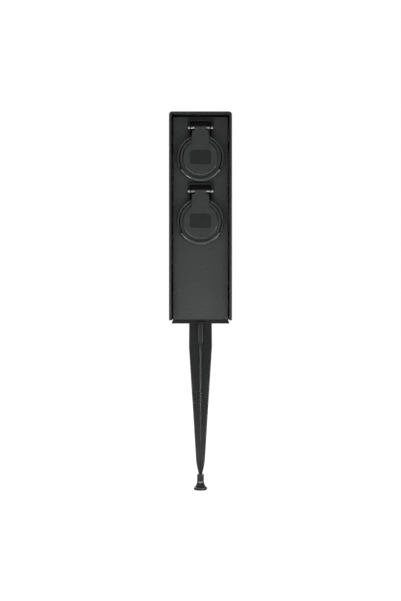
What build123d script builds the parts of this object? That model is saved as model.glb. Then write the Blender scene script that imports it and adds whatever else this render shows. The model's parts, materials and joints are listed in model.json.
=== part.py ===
from build123d import *

import os
from math import cos, pi, radians, sin, sqrt

# Garden socket post: a weather hood over a sealed housing with two lidded sockets, on a ground spike.
# Millimetres. x runs to the right, y to the back and z up. The origin is on the spike's axis at the
# soil line, where the underside of the base cap rests.

# Common clearances
overrun = 1.0           # how far a cutter runs past what it cuts
screw_gap = 0.05        # radial gap between a screw's shank and the hole that it holds in
clearance_gap = 0.25    # radial gap between a screw's shank and the hole that it only passes
moving_gap = 0.3        # gap between pieces that move past each other

# Hood: a roof and two side walls, open in front, behind and below
hood_lift = 3.9
hood_side_margin = 9.6      # from the sockets' flanges to the hood's outer faces
hood_wall = 2.8
hood_corner_radius = 3.8
hood_rim_radius = 0.9

# Inner housing: front panel, side walls, roof and floor in one, open behind
housing_side_gap = 1.7
housing_top_gap = 2.2
housing_lift = 4.2
housing_wall = 2.2
housing_floor = 3.0
housing_edge_radius = 0.6
panel_recess = 11.0
panel_top_margin = 3.1      # from the upper hinge pocket's rim to the top of the panel
boss_radius = 3.6
boss_sink = 1.0         # how far a boss stands into the wall beside it

# Rear cover and its gasket
rear_recess = 11.0
rear_space = 12.8           # room for the wires behind the sockets
cover_thickness = 2.4
cover_gasket_thickness = 1.2
gasket_hood_gap = 0.05      # the gasket's edge all but touches the hood, so nothing shows or blows through
cover_lip_height = 1.6
cover_lip_width = 1.6
cover_lip_gap = 0.4

# Screws, by where they are used
cover_screw_radius = 1.5
cover_screw_length = 14.0
cover_screw_head_radius = 2.9
cover_screw_head_height = 1.9
hood_screw_radius = 1.5
hood_screw_length = 9.0
hood_screw_head_radius = 2.8
hood_screw_low = 42.0
hood_screw_drop = 37.7
hood_boss_depth = 7.0
base_screw_radius = 1.5
base_screw_length = 11.0
base_screw_head_radius = 2.7
base_screw_margin = 2.3     # how far outside the spike's head the base screws stand
base_boss_height = 9.0
driver_slot_depth = 0.9
driver_slot_width = 0.7
driver_slot_share = 0.65    # how much of a pan head's radius its slot takes up

# Base cap
cap_side_step = 0.3         # how far the cap's top stands out from the housing's sides
cap_front_step = 1.1        # and from its front
cap_flare = 1.4
cap_plate = 1.0
cap_skirt_wall = 2.0
cap_boss_radius = 10.0
cap_screw_boss_radius = 4.0
cap_notch_width = 27.0
cap_notch_height = 3.2

# Ground spike
spike_head_half_width = 13.8
spike_head_corner_radius = 3.0
spike_head_rise = 1.7
spike_head_drop = 0.7
spike_shoulder_depth = 29.0
spike_shoulder_half_width = 14.1
spike_tip_length = 13.0
spike_taper_half_width = 5.2
spike_end_depth = 184.0
spike_end_half_width = 2.2
spike_web = 1.6
spike_bead_radius = 1.15
spike_bend_radius = 70.0
spike_core_radius = 4.3
spike_core_depth = 26.0
spike_pin_radius = 1.95
spike_pin_rise = 8.0
spike_pin_length = 13.0
spike_pin_point = 2.0
spike_pin_tip_radius = 0.6
spike_core_rounding = 2.8

# Spike bolt
bolt_radius = 2.5
bolt_head_across_flats = 8.0
bolt_head_height = 3.5
bolt_reach = 22.0
washer_radius = 6.0
washer_thickness = 1.2

# Tip guard
guard_neck_radius = 4.2
guard_neck_length = 7.8
guard_flare_radius = 6.7
guard_flare_length = 15.3
guard_rim_radius = 8.35
guard_rim_height = 3.7
guard_rim_rounding = 1.3
guard_length = 19.4
guard_top_gap = 0.3
guard_bore_gap = 0.05
guard_bore_spare = 1.2

# Sockets, each in its own frame: x to the right, y up and z out of the panel's face
lower_socket_height = 122.3
socket_gap = 1.6            # between the lower hinge pocket's rim and the upper flange
flange_gasket_thickness = 0.8
flange_gasket_inset = 0.6
flange_thickness = 1.8
flange_radius = 27.9
flange_edge_radius = 0.5
collar_thickness = 2.1
collar_height = 4.3
collar_edge_radius = 0.7
collar_end_angle = 24.6
recess_radius = 19.6
recess_depth = 17.5
recess_floor = 2.0
cup_wall = 2.0
cup_rim_width = 0.4         # the cup's rim, which hangs it in the flange
insert_rim = 0.8            # how far the recess's floor reaches under the cup's ledge
mouth_height = 0.8
chamber_depth = 18.5
guide_rib_width = 4.8
guide_rib_reach = 2.0
guide_rib_drop = 3.0
cup_hole_gap = 0.3

# Hinge pocket above the recess, with two ears that carry the pin
pocket_side_gap = 0.6       # beside the ears
pocket_cup_gap = 4.4        # between the round cup and the pocket
pocket_height = 18.0
pocket_depth = 6.6
pocket_wall = 1.0
pocket_rim = 1.4
pocket_notch_gap = 0.3
hinge_offset = 9.8          # the pin's height above the pocket's lower wall
hinge_stand = 5.6
hinge_pin_radius = 1.25
hinge_pin_gap = 0.05
hinge_pin_head_radius = 1.7
hinge_pin_head_length = 2.8
hinge_pin_head_rounding = 0.5
ear_thickness = 1.0
ear_radius = 2.6
knuckle_radius = 2.8
knuckle_half_width = 6.9
spring_space = 4.5

# Lid
lid_side_gap = 1.3          # between the lid's edge and the collar
lid_gap = 0.8
lid_plate = 2.0
lid_edge_radius = 0.6
dome_inset = 3.1            # the dome's foot, in from the lid's edge
dome_slope = 1.7
dome_height = 1.2
lid_groove_width = 1.1
lid_groove_depth = 0.6
strap_half_width = 10.4
strap_end_rise = 9.2
strap_root_rise = 16.4
strap_root_height = 4.0
strap_step = 0.3
shoulder_gap = 0.6
label_width = 24.2
label_height = 16.4
label_depth = 0.6
label_corner_radius = 3.0
label_shift = 1.0
lip_overlap = 0.3           # how far the finger lip stands into the lid's edge
lip_width = 4.3
lip_end_angle = 32.0
lip_under = 3.4
lip_height = 4.0
lip_rounding = 1.4
channel_width = 2.2
channel_depth = 1.4
channel_root = 0.2          # how far the channel's floor stands into the plate
seal_width = 2.6
seal_thickness = 1.3

# Lid springs: one on each side of the knuckle, round the pin
spring_wire_radius = 0.3
spring_coil_radius = 1.8
spring_pitch = 1.05
spring_whole_turns = 3
spring_ear_gap = 0.3

# Locking ring behind the panel
lock_ring_width = 2.7
lock_ring_height = 4.5
lock_ring_notches = 6
lock_ring_notch_width = 4.0
lock_ring_notch_depth = 1.2
lock_ring_notch_height = 3.0

# Contacts
pin_spacing = 19.0
pin_hole_radius = 2.8
contact_bore_radius = 2.5
contact_wall = 0.8
contact_slit = 0.8
contact_drop = 1.0
terminal_half_width = 5.4
terminal_low = 11.4
terminal_high = 2.8
terminal_depth = 8.0
terminal_screw_drop = 7.2
terminal_screw_radius = 1.25
terminal_screw_length = 6.0
terminal_screw_head_radius = 2.1
terminal_screw_head_height = 1.5
wire_offset = 3.6
wire_radius = 1.3
wire_hole_gap = 0.1
wire_reach = 6.0
earth_strip_width = 6.0
earth_strip_thickness = 1.0
earth_clip_gap = 1.7        # between an earth clip and the recess's wall
earth_clip_pinch = 1.2
earth_clip_drop = 2.2
earth_clip_bend_drop = 5.0
earth_slot_gap = 0.3
earth_post_low = 4.6
earth_post_high = 13.2

# Contact cover behind each socket
contact_cover_thickness = 2.0
contact_cover_boss_radius = 2.6
contact_cover_boss_margin = 0.2
contact_cover_boss_angle = 32.5
contact_cover_screw_radius = 1.2
contact_cover_screw_length = 9.0
contact_cover_screw_head_radius = 2.2
contact_cover_screw_head_height = 1.4

# Supply gland through the rear cover
gland_height = 24.0
gland_thread_radius = 8.0
gland_thread_wall = 2.6
gland_hex_across_flats = 21.0
gland_hex_height = 4.0
gland_tail_length = 9.0
gland_neck_length = 10.0
gland_washer_thickness = 1.0
gland_washer_radius = 10.0
gland_seal_radius = 6.5
gland_seal_bore = 4.6
gland_seal_length = 8.0
gland_nut_gap = 1.0
gland_nut_length = 13.0
gland_nut_wall = 2.4
gland_nut_mouth_radius = 5.2
gland_nut_rounding = 2.2
gland_nut_flutes = 12
gland_nut_flute_radius = 0.9
locknut_height = 4.0
locknut_across_flats = 21.0

# Terminal block on the inside of the panel
block_height = 56.0
block_size_x = 36.0
block_size_y = 12.0
block_size_z = 18.0
block_standoff = 2.0
block_way_spacing = 10.0
block_clamp_radius = 2.6
block_clamp_bore = 1.4
block_clamp_screw_radius = 1.1
block_clamp_screw_offset = 5.0
block_fixing_radius = 1.2
block_fixing_head_radius = 2.1
block_wire_depth = 6.0

# Wires inside the housing
wire_bend_radius = 5.0
wire_rear_gap = 5.4         # from the contact covers to the middle of the wires behind them
wire_layer_step = 3.0   # how far behind the others the earth wires run
wire_rise_above_block = 9.0
wire_slope_drop = 8.0

# Earth bond of the metal hood
bond_height = 46.0
bond_depth = -8.5
bond_screw_radius = 1.5
bond_screw_head_radius = 2.7
bond_screw_head_height = 1.7
bond_screw_bite = 1.0   # how far the bond screw reaches into the hood's wall
bond_boss_radius = 4.0
lug_radius = 3.6
lug_thickness = 0.9
lug_barrel_radius = 2.1
lug_barrel_length = 5.0
bond_wire_dip = 10.3        # how far the bond wire hangs below its lug
bond_wire_bend_x = 18.6

# Radii and levels of a socket that follow from the ones above, the levels measured out of the panel
cup_radius = recess_radius + cup_wall
insert_radius = recess_radius + insert_rim
boss_circle_radius = insert_radius - contact_cover_boss_margin - contact_cover_boss_radius
contact_cover_boss_x = boss_circle_radius * cos(radians(contact_cover_boss_angle))
contact_cover_boss_y = boss_circle_radius * sin(radians(contact_cover_boss_angle))
ear_inner = knuckle_half_width + spring_space
ear_outer = ear_inner + ear_thickness
pocket_half_width = ear_outer + pocket_side_gap
pocket_low = cup_radius + pocket_cup_gap
pocket_high = pocket_low + pocket_height
pocket_outer_half_width = pocket_half_width + pocket_wall
hinge_rise = pocket_low + hinge_offset
arm_half_width = pocket_outer_half_width + pocket_rim
arm_top = pocket_high + pocket_wall + pocket_rim
flange_face = flange_gasket_thickness + flange_thickness
mouth_face = flange_face + mouth_height
collar_face = flange_face + collar_height
recess_bottom = mouth_face - recess_depth
floor_back = recess_bottom - recess_floor
chamber_back = floor_back - chamber_depth
contact_cover_back = chamber_back - contact_cover_thickness
pocket_bottom = flange_face - pocket_depth
lid_radius = flange_radius - collar_thickness - lid_side_gap
lid_back = mouth_face + lid_gap
lid_face = lid_back + lid_plate
dome_base_radius = lid_radius - dome_inset
dome_top_radius = dome_base_radius - dome_slope
dome_face = lid_face + dome_height
channel_inner_radius = lid_radius - channel_width
lip_inner_radius = lid_radius - lip_overlap
lip_outer_radius = lip_inner_radius + lip_width
knuckle_face = hinge_stand + knuckle_radius
shoulder_level = hinge_rise - knuckle_radius - shoulder_gap
earth_clip_height = recess_radius - earth_clip_gap
pin_x = pin_spacing / 2
wire_hole_radius = wire_radius + wire_hole_gap

# Planes that several pieces share: the sockets set the panel's size, and the panel sets the shells' sizes
lower_centre = lower_socket_height
upper_centre = lower_centre + arm_top + flange_radius + socket_gap
housing_top = upper_centre + arm_top + panel_top_margin
hood_top = housing_top + housing_top_gap + hood_wall
hood_half_width = flange_radius + hood_side_margin
hood_inner_half_width = hood_half_width - hood_wall
housing_half_width = hood_inner_half_width - housing_side_gap
housing_inner_half_width = housing_half_width - housing_wall
hood_depth = (
    panel_recess - contact_cover_back + rear_space + cover_gasket_thickness + cover_thickness + rear_recess
)
hood_front = -hood_depth / 2
hood_back = hood_depth / 2
floor_top = housing_lift + housing_floor
panel_front = hood_front + panel_recess
panel_inner = panel_front + housing_wall
cover_back = hood_back - rear_recess
cover_front = cover_back - cover_thickness
housing_back = cover_front - cover_gasket_thickness
cap_plate_bottom = housing_lift - cap_plate
cap_top_half_width = housing_half_width + cap_side_step
cap_front_half_depth = -panel_front + cap_front_step
hood_screw_high = hood_top - hood_screw_drop
base_screw_spread = spike_head_half_width + base_screw_margin
spike_taper_depth = spike_end_depth - spike_tip_length
wire_rear_plane = panel_front - contact_cover_back + wire_rear_gap


# Solids placed by their ends, so that each size is read straight from the values above
def block(x_low, x_high, y_low, y_high, z_low, z_high):
    centre = ((x_low + x_high) / 2, (y_low + y_high) / 2, (z_low + z_high) / 2)
    return Pos(*centre) * Box(x_high - x_low, y_high - y_low, z_high - z_low)


def rod(radius, z_low, z_high, x=0, y=0):
    return Pos(x, y, (z_low + z_high) / 2) * Cylinder(radius, z_high - z_low)


def rod_along_x(radius, x_low, x_high, y=0, z=0):
    return Pos((x_low + x_high) / 2, y, z) * Rot(0, 90, 0) * Cylinder(radius, x_high - x_low)


def rod_along_y(radius, y_low, y_high, x=0, z=0):
    return Pos(x, (y_low + y_high) / 2, z) * Rot(90, 0, 0) * Cylinder(radius, y_high - y_low)


def tube(outer, inner, z_low, z_high, x=0, y=0):
    return rod(outer, z_low, z_high, x, y) - rod(inner, z_low - overrun, z_high + overrun, x, y)


def slab(sketch, z_low, z_high):
    return extrude(Pos(0, 0, z_low) * sketch, amount=z_high - z_low)


def rounded_slab(width, depth, radius, z_low, z_high):
    return slab(RectangleRounded(width, depth, radius), z_low, z_high)


def hexagon_rod(across_flats, z_low, z_high):
    return slab(RegularPolygon(across_flats / 2, 6, major_radius=False), z_low, z_high)


def lathe(points):
    # a turned solid from an outline in radius and height
    return revolve(Plane.XZ * make_face(Polyline(*points, close=True)), axis=Axis.Z)


def cross_slot(reach, z_high):
    arms = Rectangle(2 * reach, driver_slot_width) + Rectangle(driver_slot_width, 2 * reach)
    return slab(arms, z_high - driver_slot_depth, z_high + overrun)


def pan_screw(radius, length, head_radius, head_height):
    # the head sits on z = 0 and the shank points down
    head = rod(head_radius, 0, head_height)
    head = fillet(head.edges().sort_by(Axis.Z)[-1], head_height / 2)
    return head + rod(radius, -length, 0) - cross_slot(head_radius * driver_slot_share, head_height)


def flat_screw(radius, length, head_radius):
    # the flush head ends at z = 0 and the shank points down
    drop = head_radius - radius
    outline = [(0, 0), (head_radius, 0), (radius, -drop), (radius, -length), (0, -length)]
    return lathe(outline) - cross_slot(head_radius / 2, 0)


def countersink(radius, head_radius, length):
    drop = head_radius - radius
    outline = [
        (0, overrun),
        (head_radius, overrun),
        (head_radius, 0),
        (radius, -drop),
        (radius, -length),
        (0, -length),
    ]
    return lathe(outline)


def sector(radius, angle_low, angle_high):
    # a pie slice of a disc, angles in degrees from the x axis
    reach = radius * 2
    middle = (angle_low + angle_high) / 2
    corners = [(0, 0)]
    for angle in (angle_low, middle, angle_high):
        corners.append((reach * cos(radians(angle)), reach * sin(radians(angle))))
    return Circle(radius) & make_face(Polyline(*corners, close=True))


def on_panel(shape, centre_height):
    face = Plane(origin=(0, panel_front, centre_height), x_dir=(1, 0, 0), z_dir=(0, -1, 0))
    return face.location * shape


def at_rear(shape, x, height):
    face = Plane(origin=(x, cover_back, height), x_dir=(-1, 0, 0), z_dir=(0, 1, 0))
    return face.location * shape


def write(name, *pieces):
    solids = [solid for piece in pieces for solid in piece.solids()]
    shape = solids[0] if len(solids) == 1 else Compound(solids)
    export_step(shape, os.path.join("parts", name + ".step"))


# Places of the screws
def cover_screw_places():
    inset = housing_inner_half_width - boss_radius + boss_sink
    low = floor_top + boss_radius - boss_sink
    high = housing_top - housing_wall - boss_radius + boss_sink
    between_sockets = (lower_centre + upper_centre) / 2
    heights = (low, between_sockets, high)
    return [(side * inset, height) for height in heights for side in (-1, 1)]


def base_screw_places():
    places = []
    for side in (-1, 1):
        for end in (-1, 1):
            places.append((side * base_screw_spread, end * base_screw_spread))
    return places


def hood_screw_places():
    return [(side, height) for height in (hood_screw_low, hood_screw_high) for side in (-1, 1)]


def beside_hood(shape, side, height, depth=0):
    # puts a piece whose z axis points outwards at the outer face of one side wall
    face = Plane(
        origin=(side * hood_half_width, depth, height), x_dir=(0, side, 0), z_dir=(side, 0, 0)
    )
    return face.location * shape


# Outer shells
def make_hood():
    outside = block(-hood_half_width, hood_half_width, hood_front, hood_back, hood_lift, hood_top)
    top_edges = outside.edges().filter_by(Axis.Y).group_by(Axis.Z)[-1]
    outside = fillet(top_edges, hood_corner_radius)
    inside = block(
        -hood_inner_half_width,
        hood_inner_half_width,
        hood_front - overrun,
        hood_back + overrun,
        hood_lift - overrun,
        hood_top - hood_wall,
    )
    shell = outside - inside
    rims = shell.edges().group_by(Axis.Y)
    shell = fillet(rims[0] + rims[-1], hood_rim_radius)
    for side, height in hood_screw_places():
        hole = countersink(
            hood_screw_radius + clearance_gap, hood_screw_head_radius, hood_wall + overrun
        )
        shell = shell - beside_hood(hole, side, height)
    boss = rod(bond_boss_radius, -hood_wall - housing_side_gap, -hood_wall)
    bond_hole = rod(
        bond_screw_radius + screw_gap,
        -hood_wall - housing_side_gap - overrun,
        -hood_wall + bond_screw_bite + screw_gap,
    )
    shell = shell + beside_hood(boss, 1, bond_height, bond_depth)
    return shell - beside_hood(bond_hole, 1, bond_height, bond_depth)


def make_hood_screws():
    screw = flat_screw(hood_screw_radius, hood_screw_length, hood_screw_head_radius)
    return [beside_hood(screw, side, height) for side, height in hood_screw_places()]


def panel_notch():
    # the hole that one socket takes in the panel, as a sketch in the socket's frame
    half_width = pocket_outer_half_width + pocket_notch_gap
    top = pocket_high + pocket_wall + pocket_notch_gap
    notch = Pos(0, top / 2) * Rectangle(2 * half_width, top)
    return Circle(cup_radius + cup_hole_gap) + notch


def make_inner_housing():
    outside = block(
        -housing_half_width, housing_half_width, panel_front, housing_back, housing_lift, housing_top
    )
    long_edges = outside.edges().filter_by(Axis.Z).group_by(Axis.Y)[0]
    outside = fillet(long_edges, housing_edge_radius)
    inside = block(
        -housing_inner_half_width,
        housing_inner_half_width,
        panel_inner,
        housing_back + overrun,
        floor_top,
        housing_top - housing_wall,
    )
    shell = outside - inside
    for x, height in cover_screw_places():
        shell = shell + rod_along_y(boss_radius, panel_inner, housing_back, x, height)
    for x, y in base_screw_places():
        shell = shell + rod(boss_radius, floor_top, floor_top + base_boss_height, x, y)
    for side, height in hood_screw_places():
        boss = rod(boss_radius, -hood_wall - housing_side_gap - hood_boss_depth, -hood_wall)
        shell = shell + beside_hood(boss, side, height)
    for x in (-1, 1):
        shell = shell + rod_along_y(
            boss_radius, panel_inner, panel_inner + block_standoff, x * block_way_spacing / 2, block_height
        )

    for x, height in cover_screw_places():
        shell = shell - rod_along_y(
            cover_screw_radius + screw_gap,
            cover_back - cover_screw_length - overrun,
            housing_back + overrun,
            x,
            height,
        )
    for x, y in base_screw_places():
        shell = shell - rod(
            base_screw_radius + screw_gap,
            housing_lift - overrun,
            base_screw_length + overrun,
            x,
            y,
        )
    for side, height in hood_screw_places():
        hole = rod(
            hood_screw_radius + screw_gap, -hood_screw_length - overrun, -hood_wall + overrun
        )
        shell = shell - beside_hood(hole, side, height)
    for x in (-1, 1):
        shell = shell - rod_along_y(
            block_fixing_radius + screw_gap,
            panel_front + block_fixing_radius / 2,
            panel_inner + block_standoff + overrun,
            x * block_way_spacing / 2,
            block_height,
        )
    bond_hole = rod(
        bond_screw_radius + clearance_gap,
        -hood_wall - housing_side_gap - housing_wall - overrun,
        -hood_wall,
    )
    shell = shell - beside_hood(bond_hole, 1, bond_height, bond_depth)
    shell = shell - rod(
        bolt_radius + clearance_gap, housing_lift - overrun, floor_top + overrun
    )
    for centre in (upper_centre, lower_centre):
        cutter = slab(panel_notch(), -housing_wall - overrun, overrun)
        shell = shell - on_panel(cutter, centre)
    return shell


def cover_ring(outer_half_width, outer_low, outer_high, width, y_low, y_high):
    ring = block(-outer_half_width, outer_half_width, y_low, y_high, outer_low, outer_high)
    return ring - block(
        -outer_half_width + width,
        outer_half_width - width,
        y_low - overrun,
        y_high + overrun,
        outer_low + width,
        outer_high - width,
    )


def make_rear_gasket():
    half_width = hood_inner_half_width - gasket_hood_gap
    top = hood_top - hood_wall - gasket_hood_gap
    gasket = block(-half_width, half_width, housing_back, cover_front, housing_lift, top)
    gasket = gasket - block(
        -housing_inner_half_width,
        housing_inner_half_width,
        housing_back - overrun,
        cover_front + overrun,
        floor_top,
        housing_top - housing_wall,
    )
    for x, height in cover_screw_places():
        gasket = gasket + rod_along_y(boss_radius, housing_back, cover_front, x, height)
    for x, height in cover_screw_places():
        gasket = gasket - rod_along_y(
            cover_screw_radius + clearance_gap,
            housing_back - overrun,
            cover_front + overrun,
            x,
            height,
        )
    return gasket


def make_rear_cover():
    cover = block(
        -housing_half_width, housing_half_width, cover_front, cover_back, housing_lift, housing_top
    )
    outer_edges = cover.edges().filter_by(Axis.Y)
    cover = fillet(outer_edges, housing_edge_radius)
    cover = fillet(cover.faces().sort_by(Axis.Y)[-1].edges(), housing_edge_radius)
    lip_half_width = housing_inner_half_width - cover_lip_gap
    lip = cover_ring(
        lip_half_width,
        floor_top + cover_lip_gap,
        housing_top - housing_wall - cover_lip_gap,
        cover_lip_width,
        cover_front - cover_gasket_thickness - cover_lip_height,
        cover_front,
    )
    for x, height in cover_screw_places():
        lip = lip - rod_along_y(
            boss_radius + cover_lip_gap, housing_back - 2 * cover_lip_height, cover_front, x, height
        )
    cover = cover + lip
    for x, height in cover_screw_places():
        cover = cover - rod_along_y(
            cover_screw_radius + clearance_gap, cover_front - overrun, cover_back + overrun, x, height
        )
    return cover - rod_along_y(
        gland_thread_radius + clearance_gap, cover_front - overrun, cover_back + overrun, 0, gland_height
    )


def make_rear_cover_screws():
    screw = pan_screw(
        cover_screw_radius, cover_screw_length, cover_screw_head_radius, cover_screw_head_height
    )
    return [at_rear(screw, x, height) for x, height in cover_screw_places()]


# Base cap, spike and tip guard
def cap_frustum(top_half_width, top_half_depth, flare, z_low, z_high):
    bottom = Rectangle(2 * (top_half_width + flare), 2 * (top_half_depth + flare))
    top = Rectangle(2 * top_half_width, 2 * top_half_depth)
    return loft([Pos(0, 0, z_low) * bottom, Pos(0, 0, z_high) * top], ruled=True)


def make_base_cap():
    cap = cap_frustum(cap_top_half_width, cap_front_half_depth, cap_flare, 0, housing_lift)
    cavity = block(
        -cap_top_half_width + cap_skirt_wall,
        cap_top_half_width - cap_skirt_wall,
        -cap_front_half_depth + cap_skirt_wall,
        cap_front_half_depth - cap_skirt_wall,
        -overrun,
        cap_plate_bottom,
    )
    cap = cap - cavity
    cap = cap + rod(cap_boss_radius, spike_head_rise, cap_plate_bottom)
    for x, y in base_screw_places():
        cap = cap + rod(cap_screw_boss_radius, 0, cap_plate_bottom, x, y)
    for x, y in base_screw_places():
        hole = countersink(base_screw_radius + clearance_gap, base_screw_head_radius, housing_lift + overrun)
        cap = cap - Pos(x, y, 0) * Rot(180, 0, 0) * hole
    cap = cap - rod(bolt_radius + clearance_gap, 0, housing_lift + overrun)
    # the shallow arch over the spike, through the front and the rear skirt
    half_chord = cap_notch_width / 2
    arch_radius = (half_chord**2 + cap_notch_height**2) / (2 * cap_notch_height)
    reach = cap_front_half_depth + cap_flare + overrun
    inner = cap_front_half_depth - cap_skirt_wall
    arch = rod_along_y(arch_radius, -reach, reach, 0, cap_notch_height - arch_radius)
    keep = block(-half_chord * 2, half_chord * 2, -inner, inner, -arch_radius * 2, housing_lift)
    return cap - (arch - keep)


def make_base_cap_screws():
    screw = Rot(180, 0, 0) * flat_screw(
        base_screw_radius, base_screw_length, base_screw_head_radius
    )
    return [Pos(x, y, 0) * screw for x, y in base_screw_places()]


def spike_edge(inset):
    # the edge of one web from the head to the end, drawn in the xz plane
    return [
        (spike_head_half_width - inset, spike_head_rise - spike_bead_radius),
        (spike_shoulder_half_width - inset, -spike_shoulder_depth),
        (spike_taper_half_width - inset, -spike_taper_depth),
        (spike_end_half_width - inset, -spike_end_depth),
    ]


def make_ground_spike():
    right = spike_edge(spike_bead_radius)
    left = [(-x, z) for x, z in reversed(right)]
    web_sketch = Plane.XZ * make_face(Polyline(*(right + left), close=True))
    web = extrude(web_sketch, amount=spike_web / 2, both=True)
    path_points = [(x, 0, z) for x, z in right]
    path = FilletPolyline(*path_points, radius=spike_bend_radius)
    start = Plane(origin=path @ 0, z_dir=path % 0)
    bead = sweep(start * Circle(spike_bead_radius), path=path)
    head = rounded_slab(
        2 * spike_head_half_width,
        2 * spike_head_half_width,
        spike_head_corner_radius,
        -spike_head_drop,
        spike_head_rise,
    )
    pin_bottom = -spike_end_depth - spike_pin_length
    pin = lathe(
        [
            (0, -spike_end_depth + spike_pin_rise),
            (spike_pin_radius, -spike_end_depth + spike_pin_rise / 2),
            (spike_pin_radius, pin_bottom + spike_pin_point),
            (spike_pin_tip_radius, pin_bottom),
            (0, pin_bottom),
        ]
    )
    core = rod(spike_core_radius, -spike_core_depth, 0)
    core = fillet(core.edges().sort_by(Axis.Z)[0], spike_core_rounding)
    spike = head + core + pin
    for turn in (0, 90):
        spike = spike + Rot(0, 0, turn) * web
    for turn in (0, 90, 180, 270):
        spike = spike + Rot(0, 0, turn) * bead
    trim = block(
        -hood_half_width, hood_half_width, hood_front, hood_back, spike_head_rise, hood_top
    )
    bolt_hole = rod(bolt_radius + screw_gap, -bolt_reach - overrun, spike_head_rise + overrun)
    return spike - trim - bolt_hole


def make_spike_bolt():
    seat = floor_top + washer_thickness
    head = hexagon_rod(bolt_head_across_flats, seat, seat + bolt_head_height)
    return head + rod(bolt_radius, -bolt_reach, seat)


def make_spike_washer():
    return tube(
        washer_radius, bolt_radius + clearance_gap, floor_top, floor_top + washer_thickness
    )


def make_tip_guard():
    top = -spike_end_depth - guard_top_gap
    bottom = top - guard_length
    rim_top = bottom + guard_rim_height
    neck_end = (guard_neck_radius, top - guard_neck_length)
    flare_end = (guard_flare_radius, top - guard_flare_length)
    outline = [
        Line((0, top), (guard_neck_radius, top)),
        Line((guard_neck_radius, top), neck_end),
        TangentArc(neck_end, flare_end, tangent=(0, -1)),
        Line(flare_end, (guard_flare_radius, rim_top)),
        Line((guard_flare_radius, rim_top), (guard_rim_radius, rim_top)),
        Line((guard_rim_radius, rim_top), (guard_rim_radius, bottom)),
        Line((guard_rim_radius, bottom), (0, bottom)),
        Line((0, bottom), (0, top)),
    ]
    guard = revolve(Plane.XZ * make_face(Curve() + outline), axis=Axis.Z)
    rim_edges = [
        edge
        for edge in guard.edges().filter_by(GeomType.CIRCLE)
        if edge.radius > (guard_flare_radius + guard_rim_radius) / 2
    ]
    guard = fillet(rim_edges, guard_rim_rounding)
    bore_bottom = -spike_end_depth - spike_pin_length - guard_bore_spare
    return guard - rod(spike_pin_radius + guard_bore_gap, bore_bottom, top + overrun)


# Socket pieces, in the socket's own frame
def hinge_outline(inset):
    # flange round the recess together with its upward arm round the hinge pocket
    half_width = arm_half_width - inset
    top = arm_top - inset
    return Circle(flange_radius - inset) + Pos(0, top / 2) * Rectangle(2 * half_width, top)


def pocket_sketch(margin):
    middle = (pocket_low + pocket_high) / 2
    return Pos(0, middle) * Rectangle(
        2 * (pocket_half_width + margin), pocket_high - pocket_low + 2 * margin
    )


def make_flange_gasket():
    sketch = hinge_outline(flange_gasket_inset) - panel_notch()
    return slab(sketch, 0, flange_gasket_thickness)


def make_ear(side):
    low = min(side * ear_inner, side * ear_outer)
    high = max(side * ear_inner, side * ear_outer)
    post = block(
        low,
        high,
        hinge_rise - ear_radius,
        hinge_rise + ear_radius,
        pocket_bottom - pocket_wall / 2,
        hinge_stand,
    )
    ear = post + rod_along_x(ear_radius, low, high, hinge_rise, hinge_stand)
    return ear - rod_along_x(
        hinge_pin_radius + hinge_pin_gap, low - overrun, high + overrun, hinge_rise, hinge_stand
    )


def make_socket_flange():
    # the plate on the panel with the collar, the hinge pocket and its two ears
    flange = slab(hinge_outline(0), flange_gasket_thickness, flange_face)
    flange = fillet(flange.faces().sort_by(Axis.Z)[-1].edges(), flange_edge_radius)
    tub = slab(pocket_sketch(pocket_wall), pocket_bottom - pocket_wall, flange_face)
    collar_ring = Circle(flange_radius) - Circle(flange_radius - collar_thickness)
    gap = sector(flange_radius + overrun, 180 + collar_end_angle, 360 - collar_end_angle)
    opening = Pos(0, pocket_high) * Rectangle(
        2 * pocket_outer_half_width, 2 * (pocket_high - recess_radius)
    )
    collar = slab(collar_ring - gap - opening, flange_gasket_thickness, collar_face)
    collar = fillet(collar.faces().sort_by(Axis.Z)[-1].edges(), collar_edge_radius)
    flange = flange + tub + collar
    flange = flange - slab(pocket_sketch(0), pocket_bottom, flange_face + overrun)
    cup_hole = rod(cup_radius + screw_gap, flange_gasket_thickness - overrun, flange_face + overrun)
    flange = flange - cup_hole
    return flange + make_ear(-1) + make_ear(1)


def make_socket_body():
    # the cup, hung in the flange by a narrow rim: the recess in front, the contacts' room behind
    body = rod(cup_radius, chamber_back, mouth_face)
    body = body + rod(cup_radius + cup_rim_width, flange_face, mouth_face)
    body = body - rod(recess_radius, recess_bottom - overrun, mouth_face + overrun)
    body = body - rod(insert_radius + screw_gap, chamber_back - overrun, recess_bottom)
    for side in (-1, 1):
        rib = block(
            min(side * recess_radius, side * (recess_radius - guide_rib_reach)),
            max(side * recess_radius, side * (recess_radius - guide_rib_reach)),
            -guide_rib_width / 2,
            guide_rib_width / 2,
            recess_bottom,
            mouth_face - guide_rib_drop,
        )
        body = body + rib
    return body


def cover_boss_places():
    return [(side * contact_cover_boss_x, contact_cover_boss_y) for side in (-1, 1)]


def make_socket_insert():
    # the recess's floor, let into the cup from behind up to a ledge, with the cover screws' bosses
    insert = rod(insert_radius, floor_back, recess_bottom)
    for x, y in cover_boss_places():
        insert = insert + rod(contact_cover_boss_radius, chamber_back, floor_back, x, y)
        screw_end = contact_cover_back + contact_cover_screw_length + overrun
        screw_hole_radius = contact_cover_screw_radius + screw_gap
        insert = insert - rod(screw_hole_radius, chamber_back - overrun, screw_end, x, y)
    for side in (-1, 1):
        insert = insert - rod(
            pin_hole_radius, floor_back - overrun, recess_bottom + overrun, side * pin_x, 0
        )
        slot_y = side * (earth_clip_height + earth_strip_thickness / 2 - earth_clip_pinch / 2)
        slot_height = earth_strip_thickness + earth_clip_pinch + 2 * earth_slot_gap
        slot = Pos(0, slot_y) * Rectangle(earth_strip_width + 2 * earth_slot_gap, slot_height)
        insert = insert - slab(slot, floor_back - overrun, recess_bottom + overrun)
    return insert


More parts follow.
